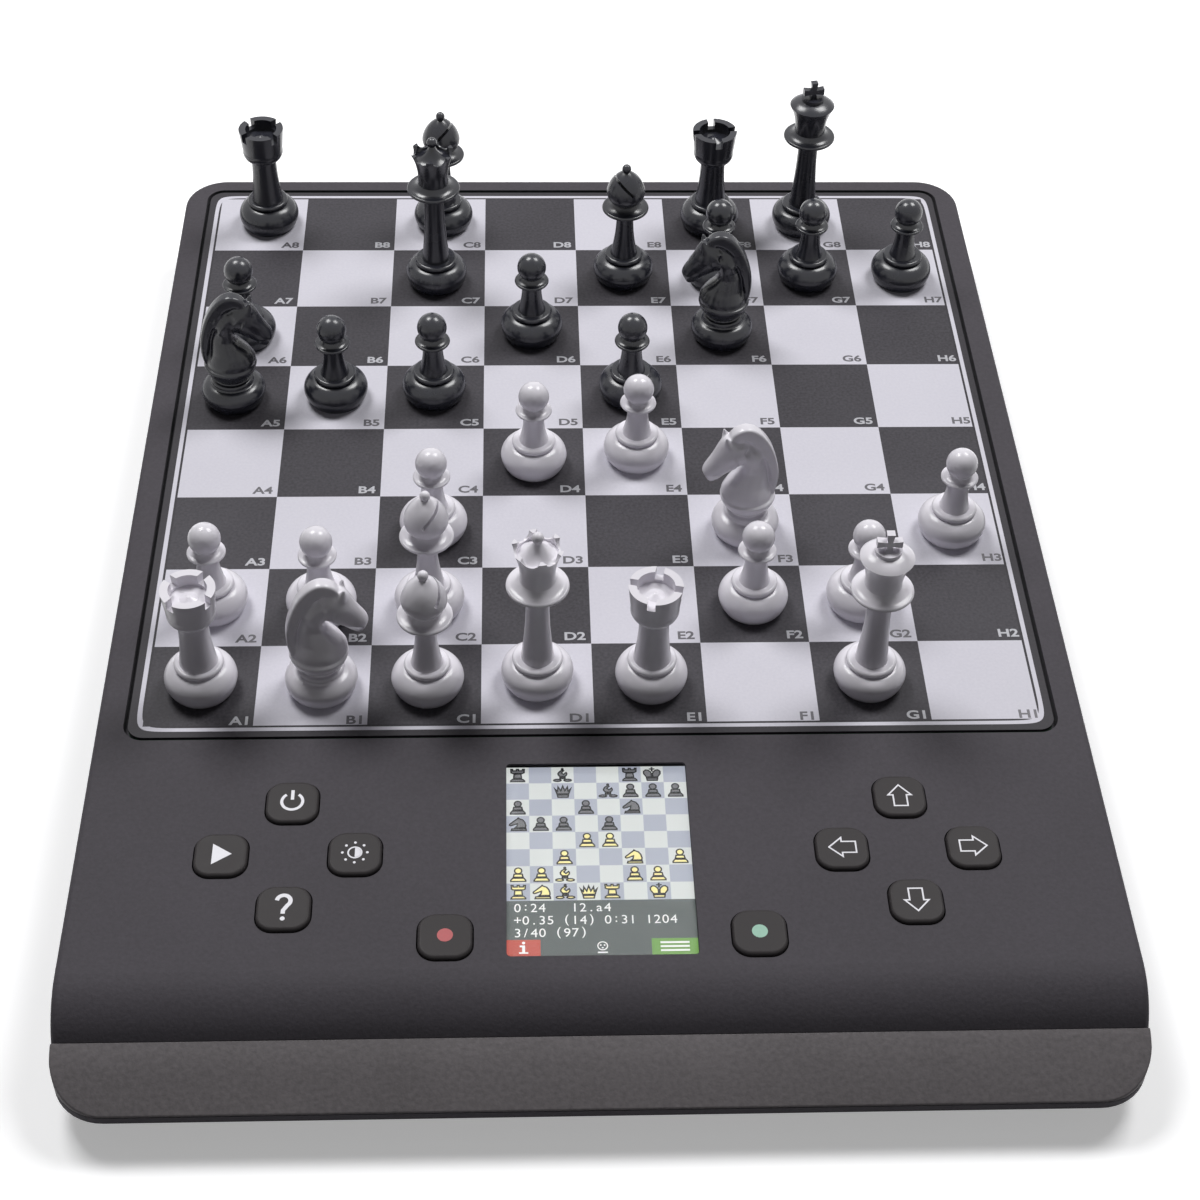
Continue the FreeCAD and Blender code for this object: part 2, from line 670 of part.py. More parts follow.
def door_room():
    """Slots in the bay's front wall that the door's tabs hook into and swing up in."""
    swing = math.hypot(HINGE_Y - BAY_FRONT + DOOR_TAB_REACH, TAB_HIGH - HINGE_Z)
    top = HINGE_Z + swing + DOOR_TAB_ROOM
    half = DOOR_TAB_WIDTH / 2 + DOOR_GAP
    slots = []
    for x in door_tabs():
        slots.append(block(x - half, x + half, BAY_FRONT - BAY_WALL - FIT, BAY_FRONT + FIT, FLOOR_TOP, top))
    return Part.makeCompound(slots)


def battery_door():
    """A plate in the floor with a round hinge edge, two hook tabs, a latch tongue and grip grooves."""
    left, right = BAY_LEFT + DOOR_GAP, BAY_LEFT + BAY_LENGTH - DOOR_GAP
    front, rear = BAY_FRONT + DOOR_GAP, BAY_FRONT + BAY_WIDTH - DOOR_GAP
    hinge = Part.makeCylinder(HINGE_RADIUS, right - left, Vector(left, HINGE_Y, HINGE_Z), Vector(1, 0, 0))
    shapes = [hinge, block(left, right, HINGE_Y, rear, STANDOFF, FLOOR_TOP)]
    tab_rear = front + DOOR_TAB_THICKNESS
    for x in door_tabs():
        low, high = x - DOOR_TAB_WIDTH / 2, x + DOOR_TAB_WIDTH / 2
        shapes.append(block(low, high, BAY_FRONT - DOOR_TAB_REACH, tab_rear, TAB_LOW, TAB_HIGH))
        shapes.append(block(low, high, front, tab_rear, HINGE_Z, TAB_HIGH))
    cuts = []
    for side in (-1, 1):
        x = BAY_X + side * (LATCH_WIDTH + LATCH_SLOT) / 2 - LATCH_SLOT / 2
        cuts.append(block(x, x + LATCH_SLOT, rear - LATCH_LENGTH, rear + FIT, 0, DECK_HEIGHT))
    for groove in range(GRIP_GROOVES):
        y = rear - LATCH_LENGTH / 2 + (groove - 1) * 2 * LATCH_SLOT
        half = GRIP_LENGTH / 2
        cuts.append(block(BAY_X - half, BAY_X + half, y, y + LATCH_SLOT, 0, STANDOFF + GRIP_DEPTH))
    return joined(shapes).cut(cuts)


def top_cover():
    """The upper shell: deck, board recess, screen window, key holes, rolled front and bosses."""
    body = cover_shell()
    above = DECK_HEIGHT + DECK_EDGE
    recess = 2 * RECESS_HALF
    jack_start = Vector(JACK_X, REAR - 2 * WALL, JACK_Z)
    tail_y = MAIN_REAR - TAIL_SETBACK
    tail_slot = CONNECTOR_WIDTH, CONNECTOR_DEPTH, FIT
    cuts = [
        centred(0, BOARD_Y, recess, recess, RECESS_CORNER, RECESS_BOTTOM, above),
        centred(0, PANEL_Y, WINDOW_WIDTH, WINDOW_LENGTH, WINDOW_CORNER, CEILING, above),
        lens_shape(FIT, CEILING, LENS_TOP),
        Part.makeCylinder(JACK_COLLAR_RADIUS + FIT, 4 * WALL, jack_start, Vector(0, 1, 0)),
        centred(MAIN_CIRCUIT_X, tail_y, *tail_slot, CEILING - WALL, RECESS_BOTTOM),
    ]
    hole = KEY_SIZE + 2 * KEY_GAP
    for x, y in KEYS.values():
        cuts.append(centred(x, PANEL_Y + y, hole, hole, KEY_CORNER + KEY_GAP, CEILING, above))
    adds = []
    for x, y in BOSSES:
        adds.append(drum(x, y, COVER_BOSS_RADIUS, PARTING_HEIGHT, DECK_UNDER if y < STEP_Y else CEILING))
    for x, y in POSTS:
        adds.append(drum(x, y, POST_RADIUS, KEY_CIRCUIT_TOP, DECK_UNDER))
        adds.append(drum(x, y, STAKE_RADIUS, KEY_CIRCUIT_BOTTOM - STAKE_HEAD, KEY_CIRCUIT_TOP))
    screw_top = SCREW_SEAT + SCREW_LENGTH
    screw_holes = [drum(x, y, SCREW_RADIUS + SCREW_HOLE_FIT, 0, screw_top + FIT) for x, y in BOSSES]
    return body.cut(cuts).fuse(adds).cut(screw_holes).removeSplitter()


def cover_shell():
    """The cover's outside and its room within, before any hole is cut."""
    far = REAR + CASE_CORNER
    roll, crease_z = roll_arc(ROLL_RADIUS, CREASE_Y)
    outline = [(CREASE_Y, crease_z), (CREASE_Y, PARTING_HEIGHT), (far, PARTING_HEIGHT)]
    outline += [(far, DECK_HEIGHT), (ROLL_Y, DECK_HEIGHT)]
    body = case_slab(0, PARTING_HEIGHT, DECK_HEIGHT).common(across(side_lines(outline) + [roll]))
    body = body.makeFillet(DECK_EDGE, rim_edges(body))
    wall_y = CREASE_Y + WALL
    inner_roll, inner_z = roll_arc(ROLL_RADIUS - DECK_WALL, wall_y)
    under_wall = PARTING_HEIGHT + TONGUE_HEIGHT + FIT
    room = [(wall_y, inner_z), (wall_y, under_wall), (CREASE_Y - WALL, under_wall)]
    room += [(CREASE_Y - WALL, LIP_BOTTOM), (far, LIP_BOTTOM), (far, CEILING)]
    room += [(STEP_Y, CEILING), (STEP_Y, DECK_UNDER), (ROLL_Y, DECK_UNDER)]
    inside = case_slab(WALL, LIP_BOTTOM, DECK_HEIGHT).common(across(side_lines(room) + [inner_roll]))
    return body.cut(inside)


def rim_edges(body):
    """The cover's upper outer edges, along both sides, round the rear corners and down the roll."""
    found = []
    for edge in body.Edges:
        middle = edge.valueAt((edge.FirstParameter + edge.LastParameter) / 2)
        at_side = abs(middle.x) > HALF_WIDTH - CASE_CORNER / 2
        at_rear = middle.y > REAR - CASE_CORNER / 2
        upright = abs(edge.tangentAt(edge.FirstParameter).z) > 0.9
        if middle.z > CREASE_Z + TRIM_NOSE and (at_side or at_rear) and not upright:
            found.append(edge)
    return found


def front_trim():
    """The paler sloping band below the roll, hollow behind and below."""
    corner = (CREASE_Y, PARTING_HEIGHT)
    outline = [corner, (CREASE_Y, CREASE_Z), (FRONT, NOSE_TOP), (FRONT, PARTING_HEIGHT), corner]
    body = case_slab(0, PARTING_HEIGHT, CREASE_Z).common(across(side_lines(outline)))
    fall = (CREASE_Z - NOSE_TOP) / TRIM_DEPTH
    inner_top = CREASE_Z - TRIM_WALL
    inner_front = CREASE_Y - (inner_top - PARTING_HEIGHT) / fall
    hollow = [corner, (CREASE_Y, inner_top), (inner_front, PARTING_HEIGHT), corner]
    return body.cut(case_slab(WALL, PARTING_HEIGHT, CREASE_Z).common(across(side_lines(hollow))))


# Board


def board_overlay():
    """The printed playing surface."""
    size = 2 * OVERLAY_HALF
    return centred(0, BOARD_Y, size, size, RECESS_CORNER - GROOVE, SENSOR_TOP, OVERLAY_TOP)


def sensor_board():
    """The pressure-sensing board under the print, with its tail down to the main board."""
    size = 2 * OVERLAY_HALF
    plate = centred(0, BOARD_Y, size, size, RECESS_CORNER - GROOVE, RECESS_BOTTOM, SENSOR_TOP)
    y = MAIN_REAR - TAIL_SETBACK
    half = CABLE_WIDTH / 2
    tail = block(
        MAIN_CIRCUIT_X - half,
        MAIN_CIRCUIT_X + half,
        y - CABLE_THICKNESS / 2,
        y + CABLE_THICKNESS / 2,
        MAIN_TOP + CONNECTOR_HEIGHT,
        SENSOR_TOP - SENSOR_THICKNESS / 2,
    )
    return joined([plate, tail])


# Screen and keys


def lens_shape(gap, z_low, z_high):
    """The lens's outline, widened by a gap."""
    width = WINDOW_WIDTH + 2 * LENS_BORDER + 2 * gap
    length = WINDOW_LENGTH + 2 * LENS_BORDER + 2 * gap
    return centred(0, PANEL_Y, width, length, WINDOW_CORNER + gap, z_low, z_high)


def display_panel():
    """The screen module, between the key circuit and the lens."""
    width = WINDOW_WIDTH + 2 * DISPLAY_BORDER_X
    length = WINDOW_LENGTH + 2 * DISPLAY_BORDER_Y
    return centred(0, PANEL_Y, width, length, WINDOW_CORNER, KEY_CIRCUIT_TOP, DECK_UNDER)


def key_cap(x, y):
    """A soft-cornered cap with a rounded top edge and a flange that stops under the deck."""
    top = DECK_HEIGHT + KEY_PROUD
    cap = centred(x, y, KEY_SIZE, KEY_SIZE, KEY_CORNER, FLANGE_BOTTOM, top)
    cap = cap.makeFillet(KEY_EDGE, [e for e in cap.Edges if min(v.Z for v in e.Vertexes) > top - FIT])
    size = KEY_SIZE + 2 * KEY_FLANGE
    return joined([cap, centred(x, y, size, size, KEY_CORNER + KEY_FLANGE / 2, FLANGE_BOTTOM, DECK_UNDER)])


def keypad_mat():
    """Two rubber sheets with a dome under each key."""
    mats = []
    reach = KEY_REACH + MAT_MARGIN
    for side in (-1, 1):
        places = [(x, PANEL_Y + y) for x, y in KEYS.values() if x * side > 0]
        left, right = min(x for x, y in places) - reach, max(x for x, y in places) + reach
        front, rear = min(y for x, y in places) - reach, max(y for x, y in places) + reach
        shapes = [slab(left, right, front, rear, KEY_CORNER, KEY_CIRCUIT_TOP, MAT_TOP)]
        for x, y in places:
            shapes.append(Part.makeCone(DOME_RADIUS, DOME_TOP_RADIUS, DOME_HEIGHT, Vector(x, y, MAT_TOP)))
        mats.append(joined(shapes))
    return Part.makeCompound(mats)


def key_circuit():
    """The key board, staked to the deck's posts, with the flat cable's connector below."""
    width, length = 2 * KEY_CIRCUIT_HALF_WIDTH, 2 * KEY_CIRCUIT_HALF_LENGTH
    board = centred(0, PANEL_Y, width, length, KEY_CORNER, KEY_CIRCUIT_BOTTOM, KEY_CIRCUIT_TOP)
    rear = PANEL_Y + KEY_CIRCUIT_HALF_LENGTH
    plug = block(
        MAIN_CIRCUIT_X - CONNECTOR_WIDTH / 2,
        MAIN_CIRCUIT_X + CONNECTOR_WIDTH / 2,
        rear - CONNECTOR_DEPTH,
        rear,
        KEY_CIRCUIT_BOTTOM - CONNECTOR_HEIGHT,
        KEY_CIRCUIT_BOTTOM,
    )
    return joined([board, plug]).cut(circuit_holes(POSTS))


def circuit_holes(posts):
    """Holes in a circuit board for its stakes, and room round the screw bosses."""
    holes = [drum(x, y, STAKE_RADIUS + STAKE_FIT, 0, DECK_HEIGHT) for x, y in posts]
    room = max(BOSS_RADIUS, COVER_BOSS_RADIUS) + BOSS_ROOM
    return holes + [drum(x, y, room, 0, DECK_HEIGHT) for x, y in BOSSES]


# Electronics in the tray


def main_circuit():
    """The main board on its posts, with its chips, capacitors and two connectors."""
    left = MAIN_CIRCUIT_X - MAIN_CIRCUIT_WIDTH / 2
    right = MAIN_CIRCUIT_X + MAIN_CIRCUIT_WIDTH / 2
    shapes = [slab(left, right, MAIN_FRONT, MAIN_REAR, STAKE_RADIUS, MAIN_BOTTOM, MAIN_TOP)]
    connector_top = MAIN_TOP + CONNECTOR_HEIGHT
    connector = CONNECTOR_WIDTH, CONNECTOR_DEPTH, FIT
    for y in (MAIN_FRONT + CONNECTOR_DEPTH / 2, MAIN_REAR - TAIL_SETBACK):
        shapes.append(centred(MAIN_CIRCUIT_X, y, *connector, MAIN_TOP, connector_top))
    centre = (MAIN_FRONT + MAIN_REAR) / 2
    chips = [(CHIP, CHIP_SHIFT, CHIP_HEIGHT), (SMALL_CHIP, SMALL_CHIP_SHIFT, SMALL_CHIP_HEIGHT)]
    for size, shift, height in chips:
        shapes.append(centred(MAIN_CIRCUIT_X, centre - shift, size, size, FIT, MAIN_TOP, MAIN_TOP + height))
    for x in (MAIN_CIRCUIT_X - CAPACITOR_SPREAD, MAIN_CIRCUIT_X + CAPACITOR_SPREAD):
        shapes.append(drum(x, centre, CAPACITOR_RADIUS, MAIN_TOP, MAIN_TOP + CAPACITOR_HEIGHT))
    return joined(shapes).cut(circuit_holes(MAIN_POSTS))


def dc_jack():
    """The power socket: a box on the main board, a collar in the rear wall, a bore and its centre pin."""
    half = JACK_WIDTH / 2
    jack_top = MAIN_TOP + JACK_HEIGHT
    body = block(JACK_X - half, JACK_X + half, JACK_FACE - JACK_DEPTH, JACK_FACE, MAIN_TOP, jack_top)
    mouth = REAR - FIT
    bottom = mouth - JACK_BORE_DEPTH
    collar = jack_rod(JACK_COLLAR_RADIUS, JACK_FACE - WALL, mouth)
    bore = jack_rod(JACK_BORE_RADIUS, bottom, mouth + WALL)
    pin = jack_rod(JACK_PIN_RADIUS, bottom - WALL, mouth - JACK_PIN_SHORT)
    return joined([body, collar]).cut(bore).fuse(pin).removeSplitter()


def jack_rod(radius, y_low, y_high):
    """A round rod along the power socket's axis."""
    return Part.makeCylinder(radius, y_high - y_low, Vector(JACK_X, y_low, JACK_Z), Vector(0, 1, 0))


def ribbon_cable():
    """The flat cable from the key board back and down to the main board, in two equal bends."""
    start_y = PANEL_Y + KEY_CIRCUIT_HALF_LENGTH
    start_z = KEY_CIRCUIT_BOTTOM - CONNECTOR_HEIGHT / 2
    end_z = MAIN_TOP + CONNECTOR_HEIGHT / 2
    drop = end_z - start_z
    turn = math.acos(1 - abs(drop) / (2 * CABLE_BEND))
    run = CABLE_BEND * math.sin(turn)
    half_run = CABLE_BEND * math.sin(turn / 2)
    half_drop = math.copysign(CABLE_BEND * (1 - math.cos(turn / 2)), drop)
    middle = Vector(0, (start_y + MAIN_FRONT) / 2, (start_z + end_z) / 2)
    bend_start = Vector(0, middle.y - run, start_z)
    bend_end = Vector(0, middle.y + run, end_z)
    first = Part.Arc(bend_start, bend_start + Vector(0, half_run, half_drop), middle).toShape()
    last = Part.Arc(middle, bend_end - Vector(0, half_run, half_drop), bend_end).toShape()
    path = side_lines([(start_y, start_z), (bend_start.y, start_z)]) + [first, last]
    path += side_lines([(bend_end.y, end_z), (MAIN_FRONT, end_z)])
    half, thick = CABLE_WIDTH / 2, CABLE_THICKNESS / 2
    corners = [(-half, -thick), (half, -thick), (half, thick), (-half, thick), (-half, -thick)]
    section = Part.makePolygon([Vector(x, start_y, start_z + z) for x, z in corners])
    strip = Part.Wire(path).makePipeShell([section], True, False)
    strip.translate(Vector(MAIN_CIRCUIT_X, 0, 0))
    return strip


def speaker():
    """The loudspeaker, facing down over the grille."""
    basket_top = SPEAKER_FLANGE + SPEAKER_BASKET
    shape = Turning()
    shape.line(SPEAKER_RADIUS, 0)
    shape.up(SPEAKER_RADIUS, SPEAKER_FLANGE)
    shape.up(SPEAKER_CONE_RADIUS, 0)
    shape.up(SPEAKER_MAGNET_RADIUS, SPEAKER_BASKET)
    shape.up(SPEAKER_MAGNET_RADIUS, SPEAKER_MAGNET)
    body = shape.solid()
    cone = Part.makeCone(SPEAKER_CONE_RADIUS, SPEAKER_MAGNET_RADIUS / 2, basket_top / 2)
    body = body.cut(cone)
    body.translate(Vector(SPEAKER_X, SPEAKER_Y, FLOOR_TOP))
    return body


def cell_rows():
    """The cells' places across the bay, and which way each points."""
    first = BAY_FRONT + HINGE_ROOM + CELL_PITCH / 2
    return [(first + row * CELL_PITCH, 1 if row % 2 == 0 else -1) for row in range(CELLS)]


def batteries():
    """The cells, each a can with its nub, turned end for end in turn."""
    cells = []
    for y, way in cell_rows():
        start = BAY_X - way * (CELL_LENGTH + CELL_NUB_LENGTH) / 2
        along = Vector(way, 0, 0)
        foot = Vector(start, y, CELL_Z)
        can = Part.makeCylinder(CELL_RADIUS, CELL_LENGTH, foot, along)
        nub = Part.makeCylinder(CELL_NUB_RADIUS, CELL_LENGTH + CELL_NUB_LENGTH, foot, along)
        cells.append(joined([can, nub]))
    return Part.makeCompound(cells)


def battery_contacts():
    """A plate at each end of each cell, with a bent leaf that reaches the cell."""
    leaves = []
    low, high = CELL_Z - CONTACT_HEIGHT / 2, CELL_Z + CONTACT_HEIGHT / 2
    half = CELL_PITCH / 2 - FIT
    for y, way in cell_rows():
        for side in (-1, 1):
            wall = BAY_X + side * BAY_LENGTH / 2
            tip = wall - side * CONTACT_DEPTH
            plate_face = wall - side * CONTACT_THICKNESS
            outline = [(wall, low), (wall, high), (plate_face, high), (tip, CELL_Z)]
            outline += [(plate_face, low), (wall, low)]
            face = Part.Face(Part.makePolygon([Vector(x, y - half / 2, z) for x, z in outline]))
            leaves.append(face.extrude(Vector(0, half, 0)))
            inner = [(plate_face, low + CONTACT_THICKNESS), (plate_face, high - CONTACT_THICKNESS)]
            inner += [(tip + side * CONTACT_THICKNESS, CELL_Z), inner[0]]
            hole = Part.Face(Part.makePolygon([Vector(x, y - half, z) for x, z in inner]))
            leaves[-1] = leaves[-1].cut(hole.extrude(Vector(0, 2 * half, 0)))
    return Part.makeCompound(leaves)


# Feet and fasteners


def rubber_feet():
    """Four round feet, seated in shallow pockets of the floor."""
    return Part.makeCompound([drum(x, y, FOOT_PAD_RADIUS, 0, STANDOFF + FOOT_PAD_RECESS) for x, y in FEET])


def case_screws():
    """The screws that pull the tray up to the cover."""
    screws = []
    for x, y in BOSSES:
        head = drum(x, y, SCREW_HEAD_RADIUS, SCREW_SEAT - SCREW_HEAD, SCREW_SEAT)
        shank = drum(x, y, SCREW_RADIUS, SCREW_SEAT, SCREW_SEAT + SCREW_LENGTH)
        screws.append(joined([head, shank]))
    return Part.makeCompound(screws)


# Chess men


def footed(foot_height, ring_radius):
    """The start of every man: a swelling foot and the ring above it."""
    man = Turning()
    man.line(FOOT_UNDER_RADIUS, 0)
    man.arc(FOOT_RADIUS, FOOT_WIDEST, FOOT_DOME / 4)
    man.arc(ring_radius, foot_height, FOOT_DOME)
    man.swell(ring_radius - RING_HEIGHT / 4, RING_HEIGHT, RING_HEIGHT / 2)
    return man


def stemmed(foot_height, ring_radius, low_radius, top_radius, length):
    """A foot with a waisted stem on it."""
    man = footed(foot_height, ring_radius)
    man.up(low_radius, 0)
    man.swell(top_radius, length, -(low_radius - top_radius) / 3)
    return man


def collared(man, radius, height, neck_radius, neck_height):
    """Adds a rounded collar and the neck above it."""
    man.swell(radius - height / 4, height / 2, -height / 4)
    man.swell(radius - height / 4, height / 2, height / 4)
    man.swell(neck_radius, neck_height, -neck_height / 4)


def pawn():
    man = stemmed(PAWN_FOOT, PAWN_RING, PAWN_STEM_LOW, PAWN_STEM_TOP, PAWN_STEM)
    collared(man, PAWN_COLLAR, PAWN_COLLAR_HEIGHT, PAWN_NECK, PAWN_NECK_HEIGHT)
    man.ball(PAWN_BALL)
    return man.solid()


def rook():
    man = stemmed(ROOK_FOOT, ROOK_RING, ROOK_STEM_LOW, ROOK_STEM_TOP, ROOK_STEM)
    man.up(ROOK_CUP_BASE, 0)
    man.swell(ROOK_CUP_LOW, ROOK_CUP_ROUND, ROOK_CUP_SWELL)
    man.up(ROOK_CUP_TOP, ROOK_CUP_HEIGHT - ROOK_CUP_ROUND)
    top = man.here[1]
    tower = man.solid()
    bore = drum(0, 0, ROOK_BORE, top - ROOK_BORE_DEPTH, top + ROOK_BORE_DEPTH)
    button = Part.makeCone(ROOK_BORE / 2, 0, ROOK_BORE_DOME, Vector(0, 0, top - ROOK_BORE_DEPTH))
    cuts = [bore.cut(button)]
    half = ROOK_NOTCH_WIDTH / 2
    for turn in range(ROOK_NOTCHES):
        notch = block(0, 2 * ROOK_CUP_TOP, -half, half, top - ROOK_NOTCH_DEPTH, top + ROOK_NOTCH_DEPTH)
        notch.rotate(Vector(0, 0, 0), Vector(0, 0, 1), turn * 360 / ROOK_NOTCHES)
        cuts.append(notch)
    return tower.cut(cuts)


def bishop():
    man = stemmed(BISHOP_FOOT, BISHOP_RING, BISHOP_STEM_LOW, BISHOP_STEM_TOP, BISHOP_STEM)
    collared(man, BISHOP_COLLAR, BISHOP_COLLAR_HEIGHT, BISHOP_NECK, BISHOP_NECK_HEIGHT)
    man.swell(BISHOP_HEAD, BISHOP_HEAD_LOW, BISHOP_HEAD_ROUND)
    widest = man.here[1]
    man.swell(BISHOP_TIP, BISHOP_HEAD_TOP, BISHOP_HEAD_SWELL)
    man.ball(BISHOP_BALL)
    head = man.solid()
    half = BISHOP_SLOT / 2
    cut = block(-BISHOP_SLOT_START, 2 * BISHOP_HEAD, -BISHOP_HEAD, BISHOP_HEAD, -half, half)
    cut.rotate(Vector(0, 0, 0), Vector(0, 1, 0), BISHOP_SLOT_TILT - 90)
    cut.translate(Vector(0, 0, widest + BISHOP_SLOT_RISE))
    return head.cut(cut)


def queen():
    man = stemmed(QUEEN_FOOT, QUEEN_RING, QUEEN_STEM_LOW, QUEEN_STEM_TOP, QUEEN_STEM)
    collared(man, QUEEN_COLLAR, QUEEN_COLLAR_HEIGHT, QUEEN_NECK, QUEEN_NECK_HEIGHT)
    man.swell(QUEEN_CROWN, QUEEN_CROWN_HEIGHT, -QUEEN_CROWN_FLARE)
    rim = man.here[1]
    inner = QUEEN_CROWN - QUEEN_CROWN_WALL
    man.up(inner, 0)
    man.up(inner, -QUEEN_CROWN_HOLLOW)
    man.swell(QUEEN_CONE_TIP, QUEEN_CONE, -QUEEN_CONE_FLARE)
    man.ball(QUEEN_BALL)
    crown = man.solid()
    cuts = []
    start = Vector(inner - QUEEN_CROWN_WALL, 0, rim + QUEEN_SCALLOP_RISE)
    for point in range(QUEEN_POINTS):
        scallop = Part.makeCylinder(QUEEN_SCALLOP, QUEEN_CROWN, start, Vector(1, 0, 0))
        scallop.rotate(Vector(0, 0, 0), Vector(0, 0, 1), (point + 0.5) * 360 / QUEEN_POINTS)
        cuts.append(scallop)
    return crown.cut(cuts)


def king():
    man = stemmed(KING_FOOT, KING_RING, KING_STEM_LOW, KING_STEM_TOP, KING_STEM)
    collared(man, KING_COLLAR, KING_COLLAR_HEIGHT, KING_NECK, KING_NECK_HEIGHT)
    man.swell(KING_CROWN, KING_CROWN_HEIGHT, -KING_CROWN_FLARE)
    man.swell(KING_CAP, KING_DOME, KING_DOME_ROUND)
    man.up(KING_CAP, KING_CAP_HEIGHT)
    base = man.here[1]
    return joined([man.solid(), king_cross(base)])


def king_cross(base):
    """A cross with arms that widen outwards, standing on the king's cap."""
    middle = base + KING_CROSS_HEIGHT - KING_CROSS_WIDTH / 2
    reach, wide, waist = KING_CROSS_WIDTH / 2, KING_CROSS_ARM / 2, KING_CROSS_WAIST / 2
    points = [(wide, base), (waist, middle - waist), (reach, middle - wide), (reach, middle + wide)]
    points += [(waist, middle + waist), (wide, base + KING_CROSS_HEIGHT)]
    outline = points + [(-x, z) for x, z in reversed(points)] + points[:1]
    face = Part.Face(Part.makePolygon([Vector(x, -KING_CROSS_DEPTH / 2, z) for x, z in outline]))
    return face.extrude(Vector(0, KING_CROSS_DEPTH, 0))


def oval(forward, height, half_length, half_width, lean):
    """A closed oval across the knight's neck or head."""
    turn = math.radians(lean)
    places = []
    for step in range(12):
        angle = step * math.pi / 6
        along, side = half_length * math.cos(angle), half_width * math.sin(angle)
        places.append(Vector(forward + along * math.cos(turn), side, height + along * math.sin(turn)))
    curve = Part.BSplineCurve()
    curve.interpolate(places, PeriodicFlag=True)
    return Part.Wire(curve.toShape())


def knight_mane(base):
    """The raised band that runs from between the ears down the back of the neck, with rounded edges."""
    side = -KNIGHT_MANE_WIDTH / 2
    edges, ends = [], []
    for line in (KNIGHT_MANE, KNIGHT_MANE_ROOT):
        places = [Vector(forward, side, base + height) for forward, height in line]
        curve = Part.BSplineCurve()
        curve.interpolate(places)
        edges.append(curve.toShape())
        ends.append((places[0], places[-1]))
    edges += [Part.makeLine(ends[0][k], ends[1][k]) for k in (0, 1)]
    band = Part.Face(Part.Wire(Part.sortEdges(edges)[0])).extrude(Vector(0, KNIGHT_MANE_WIDTH, 0))
    crest = [edge for edge in band.Edges if edge.Length > edges[1].Length]
    return band.makeFillet(KNIGHT_MANE_ROUND, crest)


def knight():
    """A turned foot and bowl that carry the neck, head, mane and ears, with a round poll between them."""
    man = footed(KNIGHT_FOOT, KNIGHT_RING)
    man.swell(KNIGHT_WAIST, RING_HEIGHT / 2, -RING_HEIGHT / 8)
    man.swell(KNIGHT_BOWL, KNIGHT_BOWL_HEIGHT - RING_HEIGHT, KNIGHT_BOWL_SWELL)
    man.swell(KNIGHT_BOWL - KNIGHT_BOWL_EDGE / 2, KNIGHT_BOWL_EDGE, KNIGHT_BOWL_EDGE / 3)
    base = man.here[1]
    poll = Vector(KNIGHT_POLL_FORWARD, 0, base + KNIGHT_POLL_RISE)
    shapes = [man.solid(), knight_mane(base), Part.makeSphere(KNIGHT_POLL, poll)]
    for sections in (KNIGHT_NECK, KNIGHT_HEAD):
        ovals = [oval(forward, base + height, *rest) for forward, height, *rest in sections]
        shapes.append(Part.makeLoft(ovals, True, False))
    for side in (-1, 1):
        root = Vector(KNIGHT_EAR_FORWARD, side * KNIGHT_EAR_SPREAD, base + KNIGHT_EAR_RISE)
        lean = Vector(KNIGHT_EAR_LEAN[0], side * KNIGHT_EAR_LEAN[1], 1)
        shapes.append(Part.makeCone(KNIGHT_EAR_RADIUS, KNIGHT_EAR_TIP, KNIGHT_EAR, root, lean))
    return joined(shapes)


MAKERS = {"pawn": pawn, "rook": rook, "knight": knight, "bishop": bishop, "queen": queen, "king": king}


def chess_men():
    """Every man, made once per kind and set on its square."""
    made = {kind: maker() for kind, maker in MAKERS.items()}
    men = {}
    for colour, kind, square, right, rear, turn in MEN:
        x = ("abcdefgh".index(square[0]) + 0.5) * SQUARE - BOARD_HALF + right
        y = (int(square[1]) - 0.5) * SQUARE - BOARD_HALF + BOARD_Y + rear
        man = made[kind].copy()
        man.Placement = Placement(Vector(x, y, OVERLAY_TOP), Rotation(Vector(0, 0, 1), turn))
        men[f"{colour}_{kind}_{square}"] = man
    return men


# Every piece, written under its own name


def main():
    os.makedirs("parts", exist_ok=True)
    pieces = {
        "bottom_case": bottom_case(),
        "top_cover": top_cover(),
        "front_trim": front_trim(),
        "board_overlay": board_overlay(),
        "sensor_board": sensor_board(),
        "display_panel": display_panel(),
        "display_lens": lens_shape(0, DECK_UNDER, LENS_TOP),
        "keypad_mat": keypad_mat(),
        "key_circuit": key_circuit(),
        "main_circuit": main_circuit(),
        "dc_jack": dc_jack(),
        "ribbon_cable": ribbon_cable(),
        "speaker": speaker(),
        "batteries": batteries(),
        "battery_contacts": battery_contacts(),
        "battery_door": battery_door(),
        "rubber_feet": rubber_feet(),
        "case_screws": case_screws(),
    }
    for node, (x, y) in KEYS.items():
        pieces[node] = key_cap(x, PANEL_Y + y)
    pieces.update(chess_men())
    for node, shape in pieces.items():
        save(node, shape)


main()
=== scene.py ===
# %% [markdown]
# A chess computer for the table
#
# The case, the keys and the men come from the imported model, which is the fixed frame here. This
# lesson dresses them: each surface gets a finish, the signs and the lit screen are modelled as thin
# pieces, and the knights get the rounded necks and grooved manes of moulded horses.

import json
from math import cos, radians, sin

import bpy
from mathutils import Matrix, Vector


